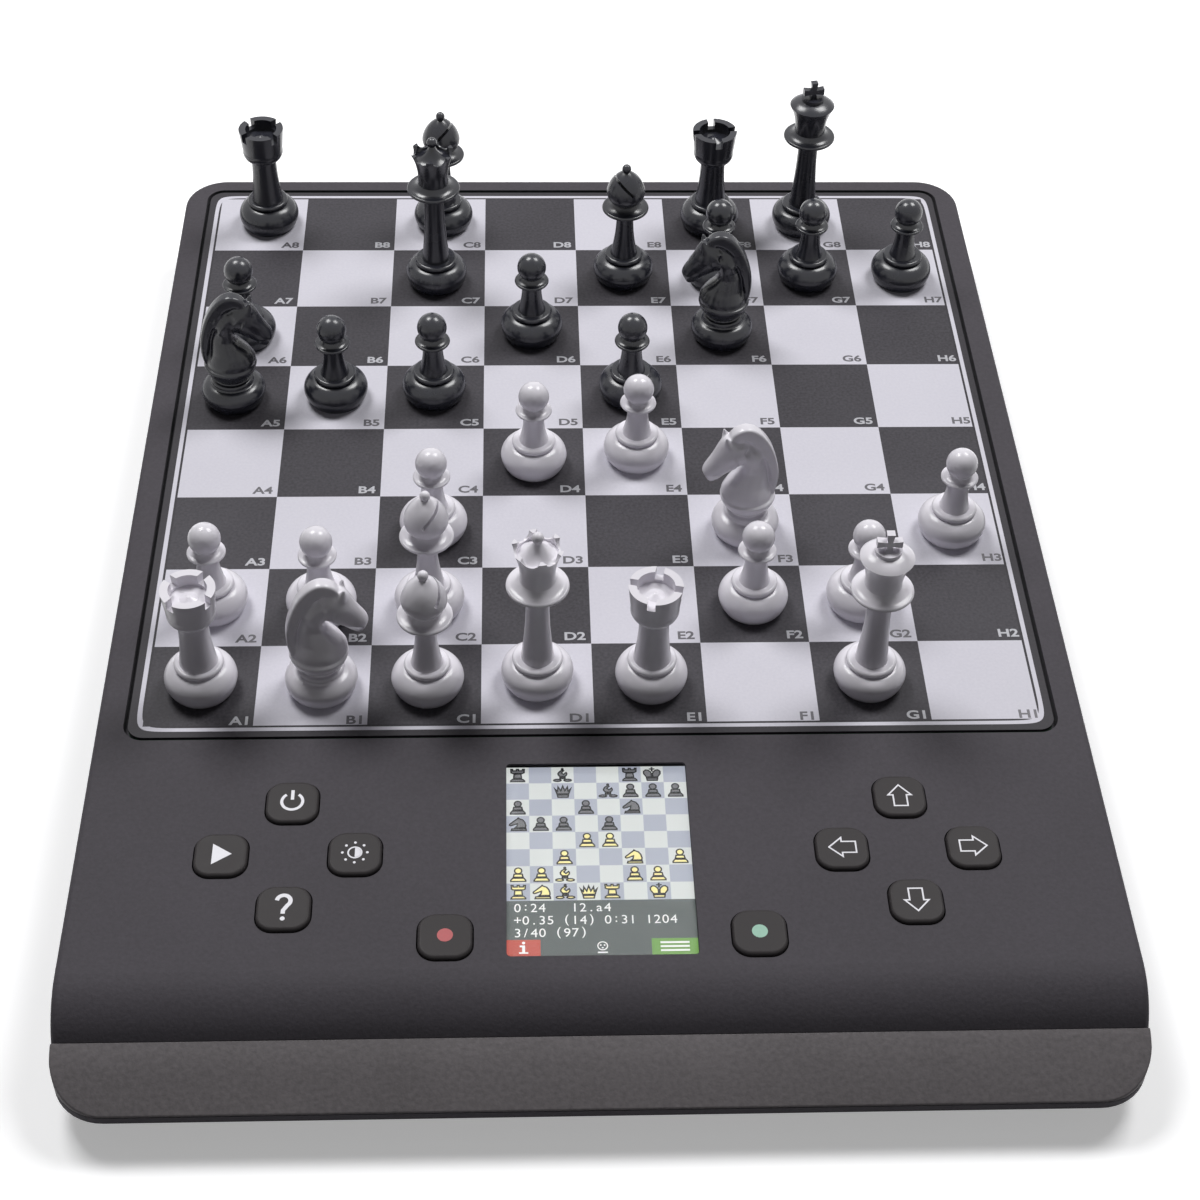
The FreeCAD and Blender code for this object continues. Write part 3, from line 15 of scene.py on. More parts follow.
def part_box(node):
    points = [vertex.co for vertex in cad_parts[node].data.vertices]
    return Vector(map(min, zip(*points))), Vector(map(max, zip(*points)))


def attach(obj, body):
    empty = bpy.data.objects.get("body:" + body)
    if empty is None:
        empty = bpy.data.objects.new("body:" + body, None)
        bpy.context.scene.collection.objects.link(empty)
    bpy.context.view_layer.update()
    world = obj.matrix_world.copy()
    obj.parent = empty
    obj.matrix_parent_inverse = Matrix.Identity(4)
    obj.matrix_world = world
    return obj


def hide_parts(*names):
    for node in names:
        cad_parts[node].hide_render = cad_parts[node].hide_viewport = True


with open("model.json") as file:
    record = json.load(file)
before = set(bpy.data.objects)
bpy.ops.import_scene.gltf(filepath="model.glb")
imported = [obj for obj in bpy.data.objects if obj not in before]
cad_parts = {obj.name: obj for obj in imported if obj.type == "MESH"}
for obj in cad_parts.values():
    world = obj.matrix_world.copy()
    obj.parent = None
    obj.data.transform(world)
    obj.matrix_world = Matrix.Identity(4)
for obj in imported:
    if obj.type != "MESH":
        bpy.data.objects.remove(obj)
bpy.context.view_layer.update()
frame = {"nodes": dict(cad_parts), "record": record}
nodes = frame["nodes"]
MM = 0.001

# %% [markdown]
# Operators act on all that is selected, so every step starts from an empty selection. These few
# helpers choose one object, pick faces by a test in code, and set a finished piece down: its place
# goes into its mesh, it rides on a body of the frame and it takes a finish.

# %% Helpers for selecting and setting down


def only(piece):
    """Make one object the selected and active one."""
    bpy.ops.object.select_all(action="DESELECT")
    piece.select_set(True)
    bpy.context.view_layer.objects.active = piece


def edit_faces(piece, test):
    """Enter edit mode with the faces that pass a test selected."""
    only(piece)
    bpy.ops.object.mode_set(mode="EDIT")
    bpy.ops.mesh.select_mode(type="FACE")
    bpy.ops.mesh.select_all(action="DESELECT")
    bpy.ops.object.mode_set(mode="OBJECT")
    for face in piece.data.polygons:
        face.select = test(face)
    bpy.ops.object.mode_set(mode="EDIT")


def leave_edit():
    """Go back to object mode."""
    bpy.ops.object.mode_set(mode="OBJECT")


def apply_place(piece):
    """Put an object's place, turn and scale into its mesh."""
    only(piece)
    bpy.ops.object.transform_apply(location=True, rotation=True, scale=True)


def join(pieces):
    """Join pieces into the first one."""
    only(pieces[0])
    for piece in pieces:
        piece.select_set(True)
    if len(pieces) > 1:
        bpy.ops.object.join()
    return pieces[0]


def set_down(piece, name, body, finish=None):
    """Name a finished piece, let it ride on a body and give it its finish."""
    apply_place(piece)
    piece.name = name
    piece.data.name = name
    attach(piece, body)
    if finish:
        piece.data.materials.clear()
        piece.data.materials.append(finish)
    return piece


bpy.ops.object.select_all(action="DESELECT")
print("helpers ready")

# %% [markdown]
# Most of the case is plastic with a fine spark texture from its mould. Modelled, it would take
# millions of faces, so two noises make it: a small one for the grain that catches the light, and a
# broad one for the slight unevenness of tone. Since many finishes share it, the pair is a node group
# with its own inputs and outputs.

# %% The shared grain
GRAIN_DETAIL = 3.0
MOTTLE_SCALE = 26.0
SPECKLE_SHARE = 0.6
MOTTLE_SHARE = 0.4


def new_group(name, inputs, outputs):
    """Start a shader node group with named number sockets."""
    group = bpy.data.node_groups.new(name, "ShaderNodeTree")
    for label in inputs:
        group.interface.new_socket(label, in_out="INPUT", socket_type="NodeSocketFloat")
    for label in outputs:
        group.interface.new_socket(label, in_out="OUTPUT", socket_type="NodeSocketFloat")
    return group, group.nodes.new("NodeGroupInput"), group.nodes.new("NodeGroupOutput")


def maths(tree, operation, first, second=None):
    """Add one sum to a node tree; each input is a number or another node's socket."""
    node = tree.nodes.new("ShaderNodeMath")
    node.operation = operation
    for place, value in enumerate((first, second)):
        if value is None:
            continue
        if isinstance(value, (int, float)):
            node.inputs[place].default_value = value
        else:
            tree.links.new(value, node.inputs[place])
    return node.outputs[0]


def noise(tree, where, scale, detail=2.0):
    """Add a noise at a place socket; the scale is a number or a socket."""
    node = tree.nodes.new("ShaderNodeTexNoise")
    node.inputs["Detail"].default_value = detail
    tree.links.new(where, node.inputs["Vector"])
    if isinstance(scale, (int, float)):
        node.inputs["Scale"].default_value = scale
    else:
        tree.links.new(scale, node.inputs["Scale"])
    return node.outputs["Fac"]


grain, grain_in, grain_out = new_group("moulded grain", ["Grains per metre"], ["Height", "Tone"])
grain_place = grain.nodes.new("ShaderNodeTexCoord").outputs["Object"]
grain_fine = noise(grain, grain_place, grain_in.outputs["Grains per metre"], GRAIN_DETAIL)
grain_broad = noise(grain, grain_place, MOTTLE_SCALE)
speckle = maths(grain, "MULTIPLY", grain_fine, SPECKLE_SHARE)
mottle = maths(grain, "MULTIPLY", grain_broad, MOTTLE_SHARE)
grain.links.new(grain_fine, grain_out.inputs["Height"])
grain.links.new(maths(grain, "ADD", speckle, mottle), grain_out.inputs["Tone"])
print("group", grain.name, [socket.name for socket in grain.interface.items_tree])

# %% [markdown]
# Colours are read from a screen as numbers up to 255, while shaders want linear light, so `ink`
# converts them. A finish is then one Principled shader whose colour, roughness and bump all follow
# the grain, because a single flat colour looks like a drawing and not like a plastic.

# %% Plastics, rubbers and metals
ROUGH_SPREAD = 0.05
COAT_ROUGHNESS = 0.12
GRAIN_DEPTH = 0.09 * MM


def ink(red, green, blue):
    """Turn a screen colour into the linear light that shaders use."""
    linear = []
    for value in (red, green, blue):
        part = value / 255
        linear.append(part / 12.92 if part <= 0.04045 else ((part + 0.055) / 1.055) ** 2.4)
    return (*linear, 1.0)


def shaded(colour, factor):
    """A colour made lighter or darker."""
    return (*(min(1.0, channel * factor) for channel in colour[:3]), 1.0)


def new_finish(name):
    """Start a material and hand back its node tree and its Principled shader."""
    material = bpy.data.materials.new(name)
    material.use_nodes = True
    return material, material.node_tree, material.node_tree.nodes["Principled BSDF"]


def mix_colours(tree, factor, first, second):
    """Blend two colours; each may be a colour or a socket."""
    node = tree.nodes.new("ShaderNodeMix")
    node.data_type = "RGBA"
    tree.links.new(factor, node.inputs["Factor"])
    for label, value in (("A", first), ("B", second)):
        socket = next(s for s in node.inputs if s.name == label and s.type == "RGBA")
        if isinstance(value, tuple):
            socket.default_value = value
        else:
            tree.links.new(value, socket)
    return next(s for s in node.outputs if s.type == "RGBA")


def spread(tree, value, low, high):
    """Map a value between 0.3 and 0.7 to a range, as a noise mostly lies there."""
    node = tree.nodes.new("ShaderNodeMapRange")
    node.inputs["From Min"].default_value = 0.3
    node.inputs["From Max"].default_value = 0.7
    node.inputs["To Min"].default_value = low
    node.inputs["To Max"].default_value = high
    tree.links.new(value, node.inputs["Value"])
    return node.outputs["Result"]


def add_bump(tree, shader, height, strength, depth):
    """Lift a surface by a height, as fine relief."""
    bump = tree.nodes.new("ShaderNodeBump")
    bump.inputs["Strength"].default_value = strength
    bump.inputs["Distance"].default_value = depth
    tree.links.new(height, bump.inputs["Height"])
    tree.links.new(bump.outputs["Normal"], shader.inputs["Normal"])


def grained(name, colour, rough, grains, relief, tone=0.08, metallic=0.0, coat=0.0, shine=0.5):
    """A finish whose colour, roughness and relief follow the shared grain."""
    material, tree, shader = new_finish(name)
    shader.inputs["Specular IOR Level"].default_value = shine
    node = tree.nodes.new("ShaderNodeGroup")
    node.node_tree = grain
    node.inputs["Grains per metre"].default_value = grains
    even = spread(tree, node.outputs["Tone"], 0.0, 1.0)
    tinted = mix_colours(tree, even, shaded(colour, 1 - tone), shaded(colour, 1 + tone))
    tree.links.new(tinted, shader.inputs["Base Color"])
    uneven = spread(tree, node.outputs["Tone"], rough - ROUGH_SPREAD, rough + ROUGH_SPREAD)
    tree.links.new(uneven, shader.inputs["Roughness"])
    shader.inputs["Metallic"].default_value = metallic
    shader.inputs["Coat Weight"].default_value = coat
    shader.inputs["Coat Roughness"].default_value = COAT_ROUGHNESS
    add_bump(tree, shader, node.outputs["Height"], relief, GRAIN_DEPTH)
    return material


finishes = {
    "case_black": grained(
        "spark_textured_plastic", ink(70, 67, 72), rough=0.66, grains=1150, relief=1.0, tone=0.2, shine=0.15
    ),
    "trim_grey": grained(
        "front_band_plastic", ink(101, 97, 99), rough=0.6, grains=950, relief=1.0, tone=0.24, shine=0.25
    ),
    "key_smoke": grained(
        "smoky_key_plastic", ink(52, 49, 50), rough=0.5, grains=500, relief=0.06, tone=0.1, shine=0.15
    ),
    "men_white": grained(
        "white_man_plastic", ink(226, 223, 230), rough=0.22, grains=240, relief=0.02, tone=0.02,
        coat=0.1, shine=0.3,
    ),
    "men_black": grained(
        "black_man_plastic", ink(38, 39, 47), rough=0.26, grains=240, relief=0.02, coat=0.15, shine=0.45
    ),
    "soft_rubber": grained("soft_rubber", ink(42, 42, 44), rough=0.75, grains=900, relief=0.4),
    "socket_black": grained("socket_plastic", ink(30, 30, 31), rough=0.35, grains=900, relief=0.2),
    "cable_white": grained("cable_film", ink(214, 212, 205), rough=0.4, grains=500, relief=0.2),
    "speaker_steel": grained(
        "speaker_plating", ink(150, 150, 152), rough=0.35, grains=2200, relief=0.2, tone=0.1, metallic=1.0
    ),
    "cell_steel": grained("cell_wrap", ink(120, 124, 132), rough=0.3, grains=700, relief=0.1, metallic=0.6),
    "contact_steel": grained(
        "contact_plating", ink(190, 188, 182), rough=0.25, grains=1400, relief=0.2, tone=0.1, metallic=1.0
    ),
    "screw_steel": grained(
        "screw_zinc", ink(128, 128, 130), rough=0.35, grains=1800, relief=0.3, tone=0.12, metallic=1.0
    ),
    "display": grained("screen_frame", ink(40, 40, 42), rough=0.4, grains=700, relief=0.1),
}
print("grained finishes", len(finishes))

# %% [markdown]
# The circuit boards sit inside, under the deck. Solder mask is a glossy green lacquer over copper
# tracks. Hardly anyone sees them, so they aren't modelled: a brick texture gives the lacquer a
# lattice of slightly raised tracks.

# %% Circuit board lacquer
TRACK_RELIEF = 0.3
TRACK_DEPTH = 0.05 * MM
circuit, circuit_tree, circuit_shader = new_finish("solder_mask")
tracks = circuit_tree.nodes.new("ShaderNodeTexBrick")
tracks.inputs["Scale"].default_value = 120.0
tracks.inputs["Mortar Size"].default_value = 0.06
tracks.inputs["Color1"].default_value = ink(20, 96, 52)
tracks.inputs["Color2"].default_value = ink(24, 104, 58)
tracks.inputs["Mortar"].default_value = ink(44, 128, 76)
circuit_place = circuit_tree.nodes.new("ShaderNodeTexCoord")
circuit_tree.links.new(circuit_place.outputs["Object"], tracks.inputs["Vector"])
circuit_tree.links.new(tracks.outputs["Color"], circuit_shader.inputs["Base Color"])
circuit_shader.inputs["Roughness"].default_value = 0.35
add_bump(circuit_tree, circuit_shader, tracks.outputs["Fac"], TRACK_RELIEF, TRACK_DEPTH)
finishes["circuit_green"] = circuit
print("circuit finish", circuit.name)

# %% [markdown]
# The board is a printed film: eight by eight squares, a thin dark line, a white frame line with
# rounded corners and a dark margin. Printing has no relief, so it is drawn in the material, by
# counting squares along X and Y from the middle of the film. The lower left square is dark.

# %% The printed film
BOARD_SQUARES = 8
SQUARE = 27.0 * MM
PRINTED_HALF = 107.0 * MM
LINE_INNER = 107.6 * MM
LINE_OUTER = 108.7 * MM
CORNER_POWER = 60.0
FILM_GRAINS = 1300
FILM_ROUGH = (0.42, 0.52)
FILM_SHINE = 0.12
FILM_RELIEF = 0.35
FILM_DEPTH = 0.04 * MM
film_low, film_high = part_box("board_overlay")
film_middle = (film_low + film_high) / 2
film_top = film_high.z

film, film_tree, film_shader = new_finish("printed_film")
film_shader.inputs["Specular IOR Level"].default_value = FILM_SHINE
film_place = film_tree.nodes.new("ShaderNodeSeparateXYZ")
film_coords = film_tree.nodes.new("ShaderNodeTexCoord")
film_tree.links.new(film_coords.outputs["Object"], film_place.inputs["Vector"])
along = maths(film_tree, "SUBTRACT", film_place.outputs["X"], film_middle.x)
away = maths(film_tree, "SUBTRACT", film_place.outputs["Y"], film_middle.y)
counted = []
reach = []
for distance in (along, away):
    counted.append(maths(film_tree, "FLOOR", maths(film_tree, "DIVIDE", distance, SQUARE)))
    reach.append(maths(film_tree, "ABSOLUTE", distance))
light_square = maths(film_tree, "FLOORED_MODULO", maths(film_tree, "ADD", *counted), 2.0)
furthest = maths(film_tree, "MAXIMUM", *reach)


def inside_line(half):
    """A mask of what lies inside a square outline with rounded corners."""
    powers = [maths(film_tree, "POWER", maths(film_tree, "DIVIDE", r, half), CORNER_POWER) for r in reach]
    return maths(film_tree, "LESS_THAN", maths(film_tree, "ADD", *powers), 1.0)


film_coat = film_tree.nodes.new("ShaderNodeGroup")
film_coat.node_tree = grain
film_coat.inputs["Grains per metre"].default_value = FILM_GRAINS
mottled = spread(film_tree, film_coat.outputs["Tone"], 0.0, 1.0)
dark_ink = mix_colours(film_tree, mottled, ink(54, 52, 56), ink(78, 76, 81))
light_ink = mix_colours(film_tree, mottled, ink(202, 200, 210), ink(211, 209, 218))
margin_ink = mix_colours(film_tree, mottled, ink(52, 50, 54), ink(64, 62, 66))
squares = mix_colours(film_tree, light_square, dark_ink, light_ink)
frame_line = mix_colours(film_tree, inside_line(LINE_OUTER), margin_ink, light_ink)
dark_line = mix_colours(film_tree, inside_line(LINE_INNER), frame_line, margin_ink)
within = maths(film_tree, "LESS_THAN", furthest, PRINTED_HALF)
film_tree.links.new(mix_colours(film_tree, within, dark_line, squares), film_shader.inputs["Base Color"])
film_rough = spread(film_tree, film_coat.outputs["Tone"], *FILM_ROUGH)
film_tree.links.new(film_rough, film_shader.inputs["Roughness"])
add_bump(film_tree, film_shader, film_coat.outputs["Height"], FILM_RELIEF, FILM_DEPTH)
finishes["board_print"] = film
print("film middle", tuple(round(v, 4) for v in film_middle), "top", round(film_top, 4))

# %% [markdown]
# The window over the screen is a clear moulded plate. It could be left out, as it hardly shows, but
# it gives the screen its gloss. Clear plastic bends light, so the shader transmits it, and a very
# slight waviness keeps its reflections from being perfect. Then every node takes the finish that the
# frame's record names for it.

# %% The clear window, and a finish for every node
WINDOW_BEND = 1.18
WINDOW_WAVES = 60.0
WINDOW_ROUGH = (0.0, 0.006)
lens, lens_tree, lens_shader = new_finish("clear_window")
lens_shader.inputs["Base Color"].default_value = (0.97, 0.98, 0.98, 1.0)
lens_shader.inputs["Transmission Weight"].default_value = 1.0
lens_shader.inputs["IOR"].default_value = WINDOW_BEND
lens_place = lens_tree.nodes.new("ShaderNodeTexCoord")
lens_wave = noise(lens_tree, lens_place.outputs["Object"], WINDOW_WAVES)
lens_tree.links.new(spread(lens_tree, lens_wave, *WINDOW_ROUGH), lens_shader.inputs["Roughness"])
finishes["lens"] = lens

for part in frame["record"]["subparts"]:
    nodes[part["node"]].material_slots[0].material = finishes[part["material_slot"]]

# %% [markdown]
# Every square carries its name near its lower right corner. Letters could be drawn in the material,
# but the built-in font is quicker: a text object is typed, made bold with a small offset, given the
# thickness of a layer of ink and turned into a mesh, which then can be moved to its square. All names
# in one colour of ink are joined into one piece.

# %% Names of the squares
INK_THICKNESS = 0.02 * MM
INK_GAP = 0.003 * MM
CAP_SHARE = 0.686
LABEL_CAP = 2.5 * MM
LABEL_BOLD = 0.028
LABEL_STRETCH = 1.2
LABEL_RIGHT = 1.3 * MM
LABEL_LOWER = 1.25 * MM


def typed(words, size, bold=0.0, thickness=INK_THICKNESS):
    """Type words as a flat mesh with its lower left at the origin; also give its width."""
    bpy.ops.object.select_all(action="DESELECT")
    bpy.ops.object.text_add(location=(0, 0, 0))
    piece = bpy.context.object
    piece.data.body = words
    piece.data.size = size
    piece.data.offset = bold * size
    piece.data.extrude = thickness / 2
    piece.data.resolution_u = 4
    bpy.ops.object.convert(target="MESH")
    piece = bpy.context.object
    xs = [v.co.x for v in piece.data.vertices]
    ys = [v.co.y for v in piece.data.vertices]
    zs = [v.co.z for v in piece.data.vertices]
    piece.data.transform(Matrix.Translation((-min(xs), -min(ys), -min(zs))))
    return piece, max(xs) - min(xs)


label_inks = {
    "light": grained("dark_label_ink", ink(84, 82, 88), rough=0.45, grains=900, relief=0.05),
    "dark": grained("pale_label_ink", ink(176, 176, 182), rough=0.45, grains=900, relief=0.05),
}
labels = {"light": [], "dark": []}
half_board = BOARD_SQUARES / 2
for file_count in range(BOARD_SQUARES):
    for rank_count in range(BOARD_SQUARES):
        words = "ABCDEFGH"[file_count] + str(rank_count + 1)
        label, width = typed(words, LABEL_CAP / CAP_SHARE, LABEL_BOLD)
        label.data.transform(Matrix.Diagonal((LABEL_STRETCH, 1, 1, 1)))
        right = film_middle.x + (file_count + 1 - half_board) * SQUARE - LABEL_RIGHT
        lower = film_middle.y + (rank_count - half_board) * SQUARE + LABEL_LOWER
        label.location = (right - width * LABEL_STRETCH, lower, film_top + INK_GAP)
        apply_place(label)
        shade = "light" if (file_count + rank_count) % 2 else "dark"
        labels[shade].append(label)
for shade, pieces in labels.items():
    set_down(join(pieces), f"square_names_on_{shade}", "case", label_inks[shade])
print("labels", {shade: len(pieces) for shade, pieces in labels.items()})

# %% [markdown]
# The keys carry signs in ink, white on all but two. Each sign starts as a flat circle with as many
# corners as the sign needs; the corners are moved to the sign's outline, an inset gives an outline
# its stroke, and an extrusion gives the ink its thickness. Made this way, an outline stays sharp at
# any size. A sign rides on its key, so it sinks when the key does.

# %% Outlines drawn in ink


def flat_sign(points, stroke=None, thickness=INK_THICKNESS):
    """A flat outline in millimetres, filled or drawn with a stroke, as thick as ink."""
    bpy.ops.object.select_all(action="DESELECT")
    bpy.ops.mesh.primitive_circle_add(vertices=len(points), radius=1, fill_type="NGON")
    piece = bpy.context.object
    for corner, point in zip(piece.data.vertices, points):
        corner.co = (point[0] * MM, point[1] * MM, 0)
    edit_faces(piece, lambda face: True)
    bpy.ops.mesh.normals_make_consistent(inside=False)
    if stroke:
        bpy.ops.mesh.inset(thickness=stroke * MM, use_even_offset=True)
        bpy.ops.mesh.delete(type="FACE")
        bpy.ops.mesh.select_all(action="SELECT")
    bpy.ops.mesh.extrude_region_move(TRANSFORM_OT_translate={"value": (0, 0, thickness)})
    bpy.ops.mesh.select_all(action="SELECT")
    bpy.ops.mesh.normals_make_consistent(inside=False)
    leave_edit()
    return piece


def ring_points(radius, count, start=0.0, sweep=360.0):
    """Points along a circle or an arc, in millimetres."""
    steps = count if sweep == 360.0 else count - 1
    angles = [radians(start + sweep * step / steps) for step in range(count)]
    return [(radius * cos(a), radius * sin(a)) for a in angles]


def shifted(points, across, up):
    """Points moved sideways and up."""
    return [(x + across, y + up) for x, y in points]


def turned(points, degrees):
    """Points turned about the origin."""
    a = radians(degrees)
    return [(x * cos(a) - y * sin(a), x * sin(a) + y * cos(a)) for x, y in points]


def stroke_outline(path, width):
    """The outline of a stroke of even width along a path."""
    left = []
    right = []
    for count, (x, y) in enumerate(path):
        before = path[max(count - 1, 0)]
        after = path[min(count + 1, len(path) - 1)]
        along = Vector((after[0] - before[0], after[1] - before[1])).normalized() * width / 2
        left.append((x - along.y, y + along.x))
        right.append((x + along.y, y - along.x))
    return left + right[::-1]


print("flat signs ready")

# %% Signs on the keys
SIGN_STROKE = 0.36
ARROW = [(-1.75, -3.3), (1.75, -3.3), (1.75, -0.1), (3.1, -0.1), (0, 3.3), (-3.1, -0.1), (-1.75, -0.1)]
ARROW_TURNS = {"key_up": 0, "key_left": 90, "key_down": 180, "key_right": -90}
PLAY = [(-1.9, -2.9), (2.5, 0), (-1.9, 2.9)]
POWER_ARC = ring_points(2.75, 24, 125, 290) + ring_points(2.05, 24, 415, -290)
POWER_BAR = [(-0.38, 0.5), (0.38, 0.5), (0.38, 3.3), (-0.38, 3.3)]
HOOK_PATH = shifted(ring_points(1.5, 16, 175, -225), 0, 1.75)
HOOK_PATH += [(0.35, -0.35), (0.02, -0.85), (0, -1.75)]
HOOK_WIDTH = 0.95
HOOK_DOT = shifted(ring_points(0.55, 16), 0, -3.05)
DIAL_RADIUS = 1.7
DIAL_GAP = 0.3
RAYS = 8
RAY_RADIUS = 2.8
RAY_DOT = ring_points(0.33, 10)
DOT = ring_points(1.75, 32)

signs = {name: [flat_sign(turned(ARROW, turn), SIGN_STROKE)] for name, turn in ARROW_TURNS.items()}
signs["key_play"] = [flat_sign(PLAY)]
signs["key_power"] = [flat_sign(POWER_ARC), flat_sign(POWER_BAR)]
signs["key_backlight"] = [flat_sign(ring_points(DIAL_RADIUS, 32), SIGN_STROKE)]
signs["key_backlight"].append(flat_sign(ring_points(DIAL_RADIUS - DIAL_GAP, 18, -90, 180)))
for ray_place in ring_points(RAY_RADIUS, RAYS):
    signs["key_backlight"].append(flat_sign(shifted(RAY_DOT, *ray_place)))
signs["key_red"] = [flat_sign(DOT)]
signs["key_green"] = [flat_sign(DOT)]
signs["key_help"] = [flat_sign(stroke_outline(HOOK_PATH, HOOK_WIDTH)), flat_sign(HOOK_DOT)]

sign_inks = {
    "white": grained("white_sign_ink", ink(226, 225, 232), rough=0.4, grains=900, relief=0.05, tone=0.03),
    "red": grained("red_dot_ink", ink(172, 62, 66), rough=0.4, grains=900, relief=0.05),
    "green": grained("green_dot_ink", ink(142, 186, 166), rough=0.4, grains=900, relief=0.05),
}
for key, pieces in signs.items():
    key_low, key_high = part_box(key)
    middle = (key_low + key_high) / 2
    sign = join(pieces)
    sign.location = (middle.x, middle.y, key_high.z + INK_GAP)
    colour = {"key_red": "red", "key_green": "green"}.get(key, "white")
    set_down(sign, f"sign_on_{key}", key, sign_inks[colour])
print("signs", len(signs), "key top", round(key_high.z, 4))

# %% [markdown]
# The screen module is a flat block with a dark frame round its picture. A cube is scaled to the
# module, its top face is inset to the picture's size and pushed down a tenth of a millimetre, which
# leaves room for the thin layers of the picture under the clear window.

# %% The screen module
PICTURE_WIDTH = 43.2 * MM
PICTURE_LENGTH = 57.6 * MM
PICTURE_SINK = 0.1 * MM
MODULE_INSET = 1 * MM
module_low, module_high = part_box("display_panel")
module_size = module_high - module_low
module_middle = (module_low + module_high) / 2
bpy.ops.object.select_all(action="DESELECT")
bpy.ops.mesh.primitive_cube_add(size=1, location=module_middle)
module = bpy.context.object
module.scale = module_size
apply_place(module)
edit_faces(module, lambda face: face.normal.z > 0.9)
bpy.ops.mesh.inset(thickness=MODULE_INSET, use_even_offset=True)
inset_width = module_size.x - 2 * MODULE_INSET
inset_length = module_size.y - 2 * MODULE_INSET
bpy.ops.transform.resize(
    value=(PICTURE_WIDTH / inset_width, PICTURE_LENGTH / inset_length, 1),
    center_override=(module_middle.x, module_middle.y, module_high.z),
)
bpy.ops.mesh.extrude_region_move(TRANSFORM_OT_translate={"value": (0, 0, -PICTURE_SINK)})
leave_edit()
set_down(module, "screen_module", "case", finishes["display"])
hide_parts("display_panel")
picture_floor = module_high.z - PICTURE_SINK
print("picture floor", round(picture_floor, 5))

# %% [markdown]
# A lit screen shines by itself, so its colours are emission. The fine lattice of pixels is a shared
# group: it counts pixels along X and Y and darkens the lines between them a little.

# %% Lit colours
PIXEL = 0.18 * MM
PIXEL_LINE = 0.18
LINE_DEPTH = 0.12
GLOW_STRENGTH = 0.9
UNLIT_SHARE = 0.1
SCREEN_ROUGHNESS = 0.4
pixels, pixels_in, pixels_out = new_group("screen pixels", ["Line depth"], ["Glow"])
pixel_place = pixels.nodes.new("ShaderNodeSeparateXYZ")
pixel_coords = pixels.nodes.new("ShaderNodeTexCoord")
pixels.links.new(pixel_coords.outputs["Object"], pixel_place.inputs["Vector"])
lines = []
for axis in ("X", "Y"):
    counted_pixels = maths(pixels, "DIVIDE", pixel_place.outputs[axis], PIXEL)
    within_pixel = maths(pixels, "FLOORED_MODULO", counted_pixels, 1.0)
    lines.append(maths(pixels, "LESS_THAN", within_pixel, PIXEL_LINE))
line_mask = maths(pixels, "MAXIMUM", *lines)
dimming = maths(pixels, "MULTIPLY", line_mask, pixels_in.outputs["Line depth"])
pixels.links.new(maths(pixels, "SUBTRACT", 1.0, dimming), pixels_out.inputs["Glow"])


def lit(name, colour):
    """A colour of the lit screen, with its pixel lines."""
    material, tree, shader = new_finish(name)
    node = tree.nodes.new("ShaderNodeGroup")
    node.node_tree = pixels
    node.inputs["Line depth"].default_value = LINE_DEPTH
    for socket, full in (("Emission Color", colour), ("Base Color", shaded(colour, UNLIT_SHARE))):
        tint = mix_colours(tree, node.outputs["Glow"], ink(0, 0, 0), full)
        tree.links.new(tint, shader.inputs[socket])
    shader.inputs["Emission Strength"].default_value = GLOW_STRENGTH
    shader.inputs["Roughness"].default_value = SCREEN_ROUGHNESS
    return material


lit_colours = {
    "pale": lit("lit_pale_cell", ink(214, 217, 215)),
    "blue": lit("lit_grey_cell", ink(172, 176, 190)),
    "info": lit("lit_info_area", ink(85, 92, 90)),
    "red": lit("lit_red_block", ink(190, 76, 60)),
    "green": lit("lit_green_block", ink(112, 160, 76)),
    "white": lit("lit_white_sign", ink(240, 240, 238)),
    "cream": lit("lit_cream_man", ink(250, 236, 160)),
    "grey": lit("lit_grey_man", ink(112, 112, 116)),
    "line": lit("lit_dark_line", ink(16, 16, 20)),
}
print("lit colours", len(lit_colours))

# %% [markdown]
# The picture is stacked in layers a few hundredths of a millimetre thick: cells and information
# area below, then blocks and the men's bodies, then outlines and numbers. A grid with eight faces
# each way makes the cells in one go, and every second face takes the other colour. The picture lies
# below the deck, so it is set a little away from the player, as the near edge of the window hides it.

# %% Cells and blocks of the picture
WINDOW_WIDTH = 42.0 * MM
WINDOW_LENGTH = 54.6 * MM
CELL_WIDTH = WINDOW_WIDTH / BOARD_SQUARES
CELL_LENGTH = 4.85 * MM
BAR_LENGTH = 4.3 * MM
RED_BLOCK = 7.4 * MM
GREEN_BLOCK = 10.2 * MM
LAYER = 0.016 * MM
LAYER_STEP = 0.02 * MM
LAYER_GAP = 0.004 * MM
WINDOW_SHADE_NEAR = 1.5 * MM
WINDOW_SHOWS_FAR = 0.6 * MM
window_left = module_middle.x - WINDOW_WIDTH / 2
window_top = module_middle.y + WINDOW_LENGTH / 2 + WINDOW_SHOWS_FAR
window_bottom = module_middle.y - WINDOW_LENGTH / 2 + WINDOW_SHADE_NEAR
cells_bottom = window_top - BOARD_SQUARES * CELL_LENGTH


def layer_height(step):
    """The underside of one layer of the picture."""
    return picture_floor + LAYER_GAP + step * LAYER_STEP


def slab(left, bottom, width, length, step, cells=1):
    """A thin slab of the picture, cut into a number of cells each way."""
    bpy.ops.object.select_all(action="DESELECT")
    bpy.ops.mesh.primitive_grid_add(x_subdivisions=cells, y_subdivisions=cells, size=1)
    piece = bpy.context.object
    piece.scale = (width, length, 1)
    piece.location = (left + width / 2, bottom + length / 2, layer_height(step))
    apply_place(piece)
    edit_faces(piece, lambda face: True)
    bpy.ops.mesh.extrude_region_move(TRANSFORM_OT_translate={"value": (0, 0, LAYER)})
    bpy.ops.mesh.select_all(action="SELECT")
    bpy.ops.mesh.normals_make_consistent(inside=False)
    leave_edit()
    return piece


